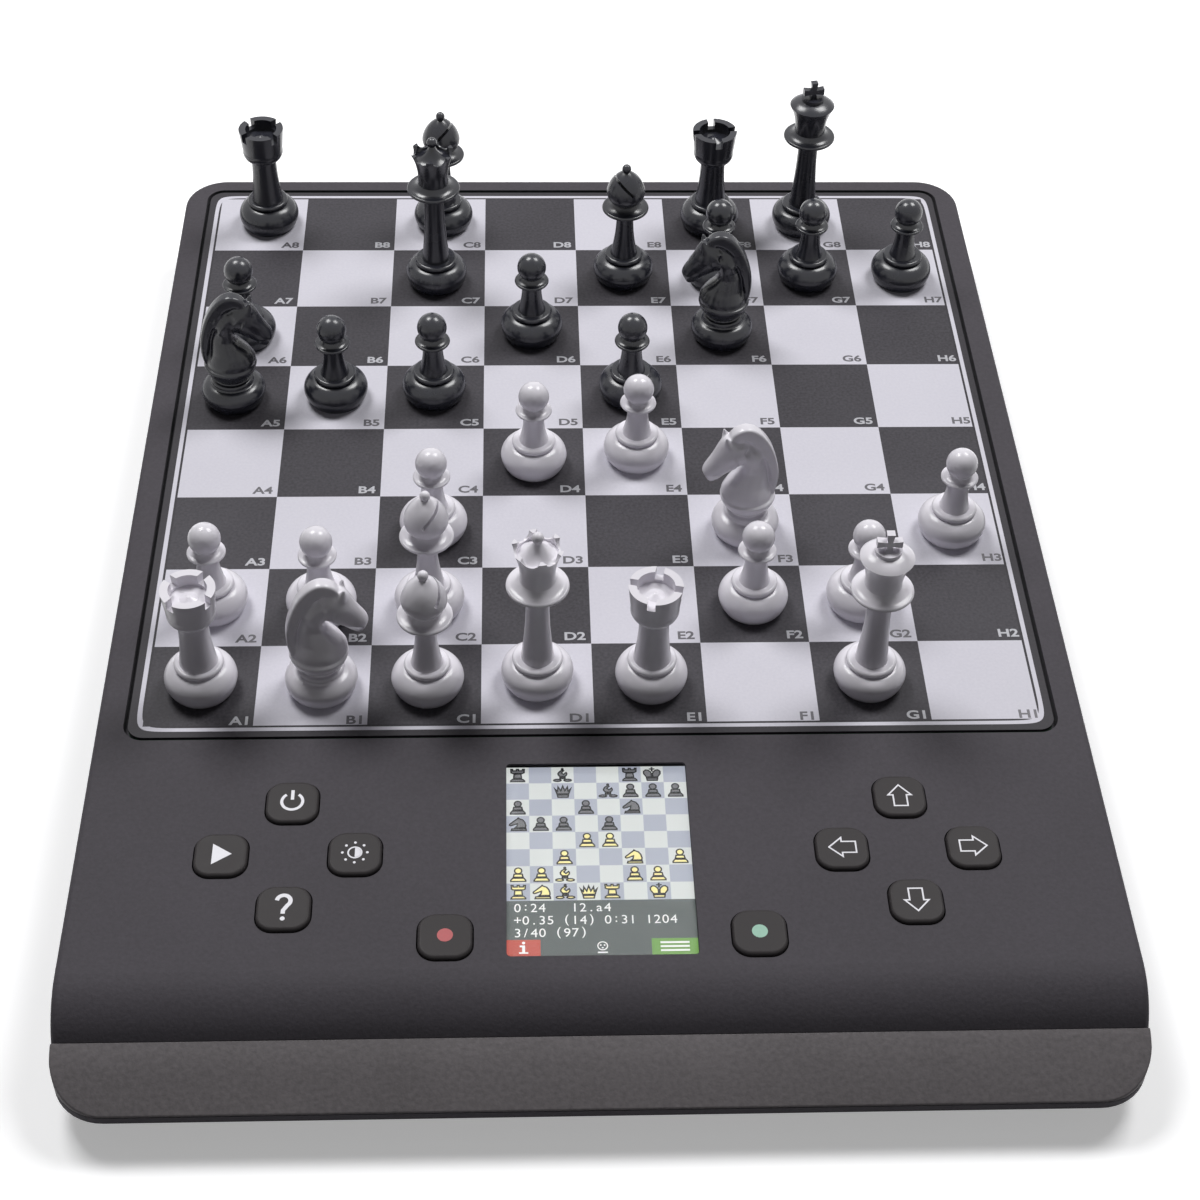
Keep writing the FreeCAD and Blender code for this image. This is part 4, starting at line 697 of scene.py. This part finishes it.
cells = slab(window_left, cells_bottom, WINDOW_WIDTH, window_top - cells_bottom, 0, BOARD_SQUARES)
set_down(cells, "screen_cells", "case", lit_colours["pale"])
cells.data.materials.append(lit_colours["blue"])
for face in cells.data.polygons:
    column = int((face.center.x - window_left) / CELL_WIDTH)
    row = int((face.center.y - cells_bottom) / CELL_LENGTH)
    face.material_index = (column + row + 1) % 2
info = slab(window_left, window_bottom, WINDOW_WIDTH, cells_bottom - window_bottom, 0)
set_down(info, "screen_info_area", "case", lit_colours["info"])
red_block = slab(window_left, window_bottom, RED_BLOCK, BAR_LENGTH, 1)
set_down(red_block, "screen_red_block", "case", lit_colours["red"])
green_left = window_left + WINDOW_WIDTH - GREEN_BLOCK
green_block = slab(green_left, window_bottom, GREEN_BLOCK, BAR_LENGTH, 1)
set_down(green_block, "screen_green_block", "case", lit_colours["green"])
print("cell", round(CELL_WIDTH / MM, 2), "by", round(CELL_LENGTH / MM, 2), "mm")

# %% [markdown]
# The screen repeats the game on the board. The built-in font's chess signs have lines too thin for
# it, so each kind of man is drawn from a few outlines in millimetres. Filled, they make the body; with
# an inset stroke, they make the dark lines round it. The squares come from the names of the men, so
# board and screen always agree.

# %% Outlines of the men on the screen
ICON_STROKE = 0.34


def flipped(points):
    """Points on the right turned into points on the left, in reverse."""
    return [(-x, y) for x, y in reversed(points)]


def mirrored(points):
    """Points on the right, followed by the same points on the left."""
    return points + flipped(points)


def oval(across, up, half_width, half_height):
    """Points round an oval."""
    return [(across + half_width * x, up + half_height * y) for x, y in ring_points(1.0, 20)]


ICON_FOOT = mirrored([(1.83, -2.05), (1.75, -1.5), (1.25, -1.0)])
ICON_BAND = mirrored([(1.3, -2.05), (1.5, -1.0)])
MITRE = [(0.0, 1.75), (0.55, 1.35), (0.0, 0.7), (0.25, 0.45), (0.9, 1.05), (1.2, 0.5), (1.15, 0.0)]
MITRE += [(0.7, -0.6), (-0.7, -0.6), (-1.15, 0.0), (-1.2, 0.5), (-0.85, 1.1)]
HORSE = [(-1.0, -1.2), (1.9, -1.2), (2.0, -0.4), (1.75, 0.6), (1.2, 1.4), (0.4, 1.75), (0.05, 2.1)]
HORSE += [(-0.25, 1.65), (-1.0, 1.0), (-2.05, 0.05), (-2.1, -0.4), (-1.7, -0.65), (-1.1, -0.45)]
HORSE += [(-0.3, -0.1), (-0.35, -0.5)]
TOWER = [(1.2, 0.45), (1.7, 0.75), (1.75, 2.05), (1.05, 2.05), (1.0, 1.6), (0.4, 1.6), (0.38, 2.05)]
CROWN = [(1.5, -1.0), (2.2, 1.35), (1.35, 0.35), (1.2, 1.8), (0.5, 0.5)]
LOBE = [(0.0, -1.0), (1.4, -1.0), (2.1, 0.1), (2.1, 0.95), (1.5, 1.5), (0.8, 1.4), (0.2, 0.8), (0.0, 0.3)]
CROSS = mirrored([(0.22, 0.8), (0.22, 1.4), (0.65, 1.4), (0.65, 1.75), (0.22, 1.75), (0.22, 2.15)])
ICONS = {
    "pawn": [
        mirrored([(1.85, -2.05), (1.85, -1.5), (1.35, -0.8)]),
        mirrored([(1.3, -0.85), (1.05, 0.35)]),
        oval(0.0, 1.1, 0.98, 0.98),
    ],
    "rook": [mirrored([(1.1, -1.0), (0.95, 0.6)]), ICON_FOOT, mirrored(TOWER)],
    "knight": [[(-1.75, -2.05), (2.1, -2.05), (2.0, -1.2), (-1.5, -1.2)], HORSE],
    "bishop": [
        oval(-1.2, -1.6, 1.05, 0.5),
        oval(1.2, -1.6, 1.05, 0.5),
        mirrored([(0.8, -1.25), (0.75, -0.55)]),
        MITRE,
        oval(0.0, 1.8, 0.36, 0.36),
    ],
    "queen": [ICON_BAND, CROWN + [(0.0, 2.05)] + flipped(CROWN)],
    "king": [ICON_BAND, LOBE, flipped(LOBE)],
}
print("outlines", {kind: len(outlines) for kind, outlines in ICONS.items()})

# %% Men on the screen


def screen_man(kind, body):
    """One man's icon for the screen, as a filled body or as its lines, centred on the origin."""
    stroke = None if body else ICON_STROKE
    parts = [flat_sign(points, stroke, LAYER) for points in ICONS[kind]]
    if kind == "king" and not body:
        parts.append(flat_sign(CROSS, None, LAYER))
    return join(parts)


def copy_to(piece, place):
    """A copy of a piece with its own mesh, moved to a place."""
    copy = piece.copy()
    copy.data = piece.data.copy()
    copy.data.transform(Matrix.Translation(place))
    bpy.context.collection.objects.link(copy)
    return copy


men = [name for name in nodes if name.startswith(("white_", "black_"))]
shown = {"cream": [], "grey": [], "line": []}
for kind in ICONS:
    for body in (True, False):
        pattern = screen_man(kind, body)
        for man in men:
            side, man_kind, square = man.split("_")
            if man_kind != kind:
                continue
            column = "abcdefgh".index(square[0])
            row = int(square[1]) - 1
            place = Vector(
                (
                    window_left + (column + 0.5) * CELL_WIDTH,
                    cells_bottom + (row + 0.5) * CELL_LENGTH,
                    layer_height(1 if body else 2),
                )
            )
            colour = "line" if not body else "cream" if side == "white" else "grey"
            shown[colour].append(copy_to(pattern, place))
        bpy.data.objects.remove(pattern)
for colour, pieces in shown.items():
    set_down(join(pieces), f"screen_men_{colour}", "case", lit_colours[colour])
print("men on the screen", {colour: len(pieces) for colour, pieces in shown.items()})

# %% [markdown]
# Below the cells the screen shows three lines in a fixed pitch: the clock, the move, a score and
# counts. The built-in font has letters of many widths, so each character is typed alone and centred
# in its own place. The bar at the bottom holds an information sign, a small face and a menu sign.

# %% Numbers and signs of the information area
LINES = ["0:24   12.a4", "+0.35 (14) 0:31 1204", "3/40 (97)"]
LINE_SIZE = 3.3 * MM
LINE_PITCH = 3.4 * MM
LINE_LEFT = 1.5 * MM
LINE_DROP = 0.85 * MM
CHARACTER_PITCH = 1.82 * MM
CHARACTER_LIFTS = {"(": -0.4 * MM, ")": -0.4 * MM, "+": 0.45 * MM, ":": 0.45 * MM}
INFO_SIGN_LEFT = 3.7 * MM
FACE_STROKE = 0.26
INFO_SIGN = [
    oval(0.0, 1.3, 0.36, 0.36),
    [(-0.32, -1.2), (0.32, -1.2), (0.32, 0.65), (-0.85, 0.65), (-0.85, 0.2), (-0.32, 0.2)],
    [(-1.0, -1.55), (1.0, -1.55), (1.0, -1.15), (-1.0, -1.15)],
]
FACE_RING = oval(0.0, 0.3, 1.2, 1.2)
FACE_SIGN = [oval(-0.42, 0.5, 0.2, 0.2), oval(0.42, 0.5, 0.2, 0.2), oval(0.0, -0.2, 0.24, 0.18)]
FACE_SIGN.append([(-1.1, -1.6), (1.1, -1.6), (1.1, -1.25), (-1.1, -1.25)])
MENU_BAR = [(-3.2, -0.25), (3.2, -0.25), (3.2, 0.25), (-3.2, 0.25)]
MENU_SIGN = [shifted(MENU_BAR, 0.0, up) for up in (-1.05, 0.0, 1.05)]

written = []
for count, words in enumerate(LINES):
    lower = cells_bottom - LINE_DROP - LINE_SIZE * CAP_SHARE - count * LINE_PITCH
    for place, character in enumerate(words):
        if character == " ":
            continue
        mark, mark_width = typed(character, LINE_SIZE, thickness=LAYER)
        left = window_left + LINE_LEFT + (place + 0.5) * CHARACTER_PITCH - mark_width / 2
        mark.location = (left, lower + CHARACTER_LIFTS.get(character, 0.0), layer_height(2))
        apply_place(mark)
        written.append(mark)
bar_middle = window_bottom + BAR_LENGTH / 2
bar_signs = [(points, None, window_left + INFO_SIGN_LEFT) for points in INFO_SIGN]
bar_signs += [(points, None, module_middle.x) for points in FACE_SIGN]
bar_signs.append((FACE_RING, FACE_STROKE, module_middle.x))
bar_signs += [(points, None, green_left + GREEN_BLOCK / 2) for points in MENU_SIGN]
for points, stroke, across in bar_signs:
    sign = flat_sign(points, stroke, LAYER)
    sign.location = (across, bar_middle, layer_height(2))
    apply_place(sign)
    written.append(sign)
set_down(join(written), "screen_numbers", "case", lit_colours["white"])
print("lines", len(LINES), "bar signs", len(bar_signs))

# %% [markdown]
# A knight is a carved horse on a turned foot. The frame's knight is a union of crisp forms, while the
# moulded one has a slim rounded neck, a groove along its mane and a cheek that stands out. So a copy
# of one knight is merged and rebuilt as an even skin of small faces, as clay is, and that clay is
# smoothed above the foot only. A sculpting brush would be the usual way on from here; a brush needs a
# hand, so the next step moves the points by rules.

# %% A knight as clay
KNIGHT_TURNS = {"white_knight_b1": 8, "white_knight_f3": 186, "black_knight_f6": 174, "black_knight_a5": 4}
SKIN_FACE = 0.24 * MM
MERGE_SPAN = 0.002 * MM
FOOT_SPAN = 0.01 * MM
HORSE_START = (13.0, 15.0)
HORSE_SMOOTHS = 14


def eased(value, low, high):
    """Ease from 0 at low to 1 at high."""
    share = min(1.0, max(0.0, (value - low) / (high - low)))
    return share * share * (3 - 2 * share)


def foot_place(name):
    """The middle of the underside of a man's foot."""
    corners = [v.co for v in nodes[name].data.vertices]
    lowest = min(c.z for c in corners)
    under = [c for c in corners if c.z < lowest + FOOT_SPAN]
    across = (min(c.x for c in under) + max(c.x for c in under)) / 2
    away = (min(c.y for c in under) + max(c.y for c in under)) / 2
    return Vector((across, away, lowest))


def loose_copy(name):
    """A merged copy of a node's mesh, free of the frame."""
    copy = nodes[name].copy()
    copy.data = nodes[name].data.copy()
    copy.parent = None
    copy.matrix_world = Matrix.Identity(4)
    bpy.context.collection.objects.link(copy)
    edit_faces(copy, lambda face: True)
    bpy.ops.mesh.select_all(action="SELECT")
    bpy.ops.mesh.remove_doubles(threshold=MERGE_SPAN)
    bpy.ops.mesh.customdata_custom_splitnormals_clear()
    leave_edit()
    return copy


def apply_modifier(piece, kind, **settings):
    """Add a modifier to a piece and apply it."""
    modifier = piece.modifiers.new(kind.lower(), kind)
    for setting, value in settings.items():
        setattr(modifier, setting, value)
    only(piece)
    bpy.ops.object.modifier_apply(modifier=modifier.name)


pattern_name = next(iter(KNIGHT_TURNS))
knight = loose_copy(pattern_name)
unturn = Matrix.Rotation(radians(-KNIGHT_TURNS[pattern_name]), 4, "Z")
knight.data.transform(unturn @ Matrix.Translation(-foot_place(pattern_name)))
apply_modifier(knight, "REMESH", mode="VOXEL", voxel_size=SKIN_FACE)
horse = knight.vertex_groups.new(name="horse")
for point in knight.data.vertices:
    horse.add([point.index], eased(point.co.z / MM, *HORSE_START), "REPLACE")
apply_modifier(knight, "SMOOTH", factor=0.5, iterations=HORSE_SMOOTHS, vertex_group="horse")
print("clay faces", len(knight.data.polygons))

# %% [markdown]
# The head looks along X, so the horse's width is its Y. Each point keeps its height and its place
# along the head, and only its width changes. At each height the neck becomes half of an oval, which
# ends in a groove at the mane's root, and behind the groove the mane keeps its own width. Where the
# neck bends forwards, the groove follows a path. The cheek is widened a little, in front of a line
# from the ears to the throat, and the chest below the throat is smoothed most. All places here are in
# millimetres: forwards from the foot's axis, and up from the neck's foot.

# %% Neck, mane and cheek
NECK_FOOT = 13.2
NECK_RISE = (1.0, 4.5)
NECK_FADE = (10.0, 13.5)
HEAD_AHEAD = (2.5, 4.5)
HEAD_RISE = (5.5, 8.5)
MANE_EDGE = (-1.22, -1.02)
NECK_SLICES = [
    (0.0, 0.5, 5.6, 6.0),
    (3.4, 0.5, 5.5, 5.3),
    (8.2, -0.7, 3.7, 3.3),
    (12.4, 0.6, 3.7, 2.9),
    (17.0, 3.0, 4.0, 2.7),
]
GROOVE_HALF = 1.15
GROOVE_DEPTH = 0.85
GROOVE_REACH = 1.3
GROOVE_RISE = (9.5, 12.5)
GROOVE_FADE = (2.0, 4.6)
GROOVE_POINTS = [(4.4, 17.9), (2.6, 17.9), (0.8, 17.0), (-1.2, 15.2), (-2.5, 13.0), (-3.5, 10.4)]
GROOVE_PATH = [Vector(point) for point in GROOVE_POINTS]
SIDE_WIDTH = (0.8, 2.0)
CHEEK_LOW = Vector((3.0, 9.8))
CHEEK_HIGH = Vector((5.4, 16.8))
CHEEK_STEP = 0.4
CHEEK_EDGE = (-0.25, 0.25)
CHEEK_FADE = (2.0, 5.5)
CHEEK_RISE = (5.5, 7.0)
CHEEK_TOP = (13.5, 16.5)
CHEEK_WIDTH = (0.8, 2.2)
SKIN_SMOOTHS = 4


def neck_slice(up):
    """The middle, half length and half width of the neck at a height."""
    for below, above in zip(NECK_SLICES, NECK_SLICES[1:]):
        if up <= above[0]:
            break
    share = min(1.0, max(0.0, (up - below[0]) / (above[0] - below[0])))
    return [low + (high - low) * share for low, high in zip(below[1:], above[1:])]


def span_to(place, start, end):
    """How far a place is from a straight line between two points."""
    line = end - start
    share = min(1.0, max(0.0, (place - start).dot(line) / line.length_squared))
    return (place - start - line * share).length


cheek_line = (CHEEK_HIGH - CHEEK_LOW).normalized()
cheek_front = Vector((cheek_line.y, -cheek_line.x))
for point in knight.data.vertices:
    ahead = point.co.x / MM
    width = abs(point.co.y) / MM
    up = point.co.z / MM - NECK_FOOT
    middle, half_length, half_width = neck_slice(up)
    along = (ahead - middle) / half_length
    rounded = max(half_width * max(0.0, 1 - along * along) ** 0.5, GROOVE_HALF)
    neck = eased(up, *NECK_RISE) * (1 - eased(up, *NECK_FADE))
    neck *= 1 - eased(ahead, *HEAD_AHEAD) * eased(up, *HEAD_RISE)
    neck *= eased(along, *MANE_EDGE)
    width += (min(width, rounded) - width) * neck
    place = Vector((ahead, up))
    span = min(span_to(place, start, end) for start, end in zip(GROOVE_PATH, GROOVE_PATH[1:]))
    groove = (1 - eased(span, 0.0, GROOVE_REACH)) * eased(up, *GROOVE_RISE)
    groove *= 1 - eased(ahead, *GROOVE_FADE)
    width -= GROOVE_DEPTH * groove * eased(width, *SIDE_WIDTH)
    front = (place - CHEEK_LOW).dot(cheek_front)
    cheek = eased(front, *CHEEK_EDGE) * (1 - eased(front, *CHEEK_FADE))
    cheek *= eased(up, *CHEEK_RISE) * (1 - eased(up, *CHEEK_TOP))
    width += CHEEK_STEP * cheek * eased(width, *CHEEK_WIDTH)
    point.co.y = width * MM if point.co.y > 0 else -width * MM
apply_modifier(knight, "SMOOTH", factor=0.5, iterations=SKIN_SMOOTHS, vertex_group="horse")
print("shaped points", len(knight.data.vertices))

# %% The chest, and the four knights
CHEST_RISE = (0.5, 2.5)
CHEST_FADE = (8.0, 10.5)
CHEST_AHEAD = (0.5, 2.5)
CHEST_FRONT = (6.5, 8.0)
CHEST_SMOOTHS = 50
chest = knight.vertex_groups.new(name="chest")
for point in knight.data.vertices:
    ahead = point.co.x / MM
    up = point.co.z / MM - NECK_FOOT
    weight = eased(up, *CHEST_RISE) * (1 - eased(up, *CHEST_FADE))
    weight *= eased(ahead, *CHEST_AHEAD) * (1 - eased(ahead, *CHEST_FRONT))
    chest.add([point.index], weight, "REPLACE")
apply_modifier(knight, "SMOOTH", factor=0.5, iterations=CHEST_SMOOTHS, vertex_group="chest")
bpy.ops.object.shade_smooth()

for name, turn in KNIGHT_TURNS.items():
    copy = copy_to(knight, (0, 0, 0))
    copy.data.transform(Matrix.Translation(foot_place(name)) @ Matrix.Rotation(radians(turn), 4, "Z"))
    slot = "men_white" if name.startswith("white") else "men_black"
    set_down(copy, f"moulded_{name}", name, finishes[slot])
    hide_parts(name)
bpy.data.objects.remove(knight)
print("knights", len(KNIGHT_TURNS))

# %% [markdown]
# The sloped band at the front meets the deck in a crease, and its upper edge shows as a thin pale
# line where it catches the light. A sharp edge has no width to catch light with, so a copy of the
# band is merged and the edge along the crease is given a small bevel.

# %% The front band
BAND_EDGE = 0.35 * MM
CREASE_SPAN = 0.02 * MM
FLAT_ANGLE = radians(0.5)
SMOOTH_ANGLE = radians(30)
band = loose_copy("front_trim")
edit_faces(band, lambda face: True)
bpy.ops.mesh.select_all(action="SELECT")
bpy.ops.mesh.dissolve_limited(angle_limit=FLAT_ANGLE)
leave_edit()
band_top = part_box("front_trim")[1].z
for edge in band.data.edges:
    ends = [band.data.vertices[v].co for v in edge.vertices]
    edge.select = all(end.z > band_top - CREASE_SPAN for end in ends)
bevelled = sum(edge.select for edge in band.data.edges)
bpy.ops.object.mode_set(mode="EDIT")
bpy.ops.mesh.select_mode(type="EDGE")
bpy.ops.mesh.bevel(offset=BAND_EDGE, segments=3)
leave_edit()
bpy.ops.object.shade_smooth_by_angle(angle=SMOOTH_ANGLE)
set_down(band, "front_band", "case", finishes["trim_grey"])
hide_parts("front_trim")
print("bevelled edges", bevelled, "band faces", len(band.data.polygons))

# %% [markdown]
# The set stands on a plain white floor. Rays from the camera, from reflections and through the clear
# window see the floor brighter than it is, and more so far away, which makes the background white and
# keeps the shadow under the case. More light would do that too, but it would bleach the board.

# %% The floor
FLOOR_SIZE = 12.0
FLOOR_WHITE = (0.93, 0.93, 0.94, 1.0)
FLOOR_BOUNCE = (0.3, 0.3, 0.31, 1.0)
FLOOR_GLOW = (0.35, 1.0)
FLOOR_GLOW_SPAN = (0.45, 1.6)


def seen_rays(tree):
    """One for rays that show a thing to the eye, and zero for rays that only carry light."""
    path = tree.nodes.new("ShaderNodeLightPath")
    direct = maths(tree, "MAXIMUM", path.outputs["Is Camera Ray"], path.outputs["Is Glossy Ray"])
    return maths(tree, "MAXIMUM", direct, path.outputs["Is Transmission Ray"])


bpy.ops.object.select_all(action="DESELECT")
bpy.ops.mesh.primitive_plane_add(size=FLOOR_SIZE, location=(0, 0, 0))
floor = bpy.context.object
floor.name = "floor"
floor_finish, floor_tree, floor_shader = new_finish("white_floor")
floor_shader.inputs["Roughness"].default_value = 0.9
floor_shader.inputs["Emission Color"].default_value = (1.0, 1.0, 1.0, 1.0)
seen = seen_rays(floor_tree)
floor_tint = mix_colours(floor_tree, seen, FLOOR_BOUNCE, FLOOR_WHITE)
floor_tree.links.new(floor_tint, floor_shader.inputs["Base Color"])
floor_coords = floor_tree.nodes.new("ShaderNodeTexCoord")
floor_span = floor_tree.nodes.new("ShaderNodeVectorMath")
floor_span.operation = "LENGTH"
floor_tree.links.new(floor_coords.outputs["Object"], floor_span.inputs[0])
floor_glow = floor_tree.nodes.new("ShaderNodeMapRange")
floor_glow.inputs["From Min"].default_value = FLOOR_GLOW_SPAN[0]
floor_glow.inputs["From Max"].default_value = FLOOR_GLOW_SPAN[1]
floor_glow.inputs["To Min"].default_value = FLOOR_GLOW[0]
floor_glow.inputs["To Max"].default_value = FLOOR_GLOW[1]
floor_tree.links.new(floor_span.outputs["Value"], floor_glow.inputs["Value"])
floor_strength = maths(floor_tree, "MULTIPLY", seen, floor_glow.outputs["Result"])
floor_tree.links.new(floor_strength, floor_shader.inputs["Emission Strength"])
floor.data.materials.append(floor_finish)
print("floor", FLOOR_SIZE)

# %% [markdown]
# Two soft lamps hang behind the board, one on each side, so the men's fronts fall into shade and no
# lamp is mirrored in the screen. A little light from all round keeps the shade from going black.

# %% The light
KEY_POWER = 8.8
KEY_SIZE = 0.42
KEY_PLACE = Vector((-0.4, 0.5, 1.05))
FILL_POWER = 7.8
FILL_SIZE = 0.42
FILL_PLACE = Vector((0.5, 0.45, 1.0))
AMBIENT = 0.05


def soft_lamp(name, place, power, size):
    """A square soft lamp that looks at the middle of the board."""
    lamp = bpy.data.lights.new(name, "AREA")
    lamp.energy = power
    lamp.size = size
    holder = bpy.data.objects.new(name, lamp)
    bpy.context.collection.objects.link(holder)
    towards = Vector((0, 0, film_top)) - place
    holder.matrix_world = Matrix.Translation(place) @ towards.to_track_quat("-Z", "Y").to_matrix().to_4x4()


soft_lamp("key_lamp", KEY_PLACE, KEY_POWER, KEY_SIZE)
soft_lamp("fill_lamp", FILL_PLACE, FILL_POWER, FILL_SIZE)
world = bpy.data.worlds.new("studio")
bpy.context.scene.world = world
world.use_nodes = True
background = world.node_tree.nodes["Background"]
background.inputs["Color"].default_value = (1.0, 1.0, 1.0, 1.0)
extra = maths(world.node_tree, "MULTIPLY", seen_rays(world.node_tree), 1.0 - AMBIENT)
world.node_tree.links.new(maths(world.node_tree, "ADD", extra, AMBIENT), background.inputs["Strength"])

# %% [markdown]
# The camera stands where the photographer stood. Its place and its three directions were solved
# from the corners of the board's squares, so the picture lines up with the photograph.

# %% The camera
CAMERA_LENS = 66.213
CAMERA_PLACE = Vector((-18.129, -412.412, 418.269)) * MM
CAMERA_RIGHT = Vector((0.99927507, -0.03131647, 0.02164756))
CAMERA_UP = Vector((0.00703267, 0.71068395, 0.70347627))
CAMERA_BACK = Vector((-0.03741496, -0.70281406, 0.71038899))
camera_data = bpy.data.cameras.new("camera")
camera_data.lens = CAMERA_LENS
camera_data.sensor_width = 36.0
camera_data.clip_start = 0.01
camera = bpy.data.objects.new("camera", camera_data)
bpy.context.collection.objects.link(camera)
axes = Matrix((CAMERA_RIGHT, CAMERA_UP, CAMERA_BACK)).transposed().to_4x4()
camera.matrix_world = Matrix.Translation(CAMERA_PLACE) @ axes
bpy.context.scene.camera = camera
bpy.context.scene.view_settings.view_transform = "Standard"
print("camera", tuple(round(v, 4) for v in camera.location))
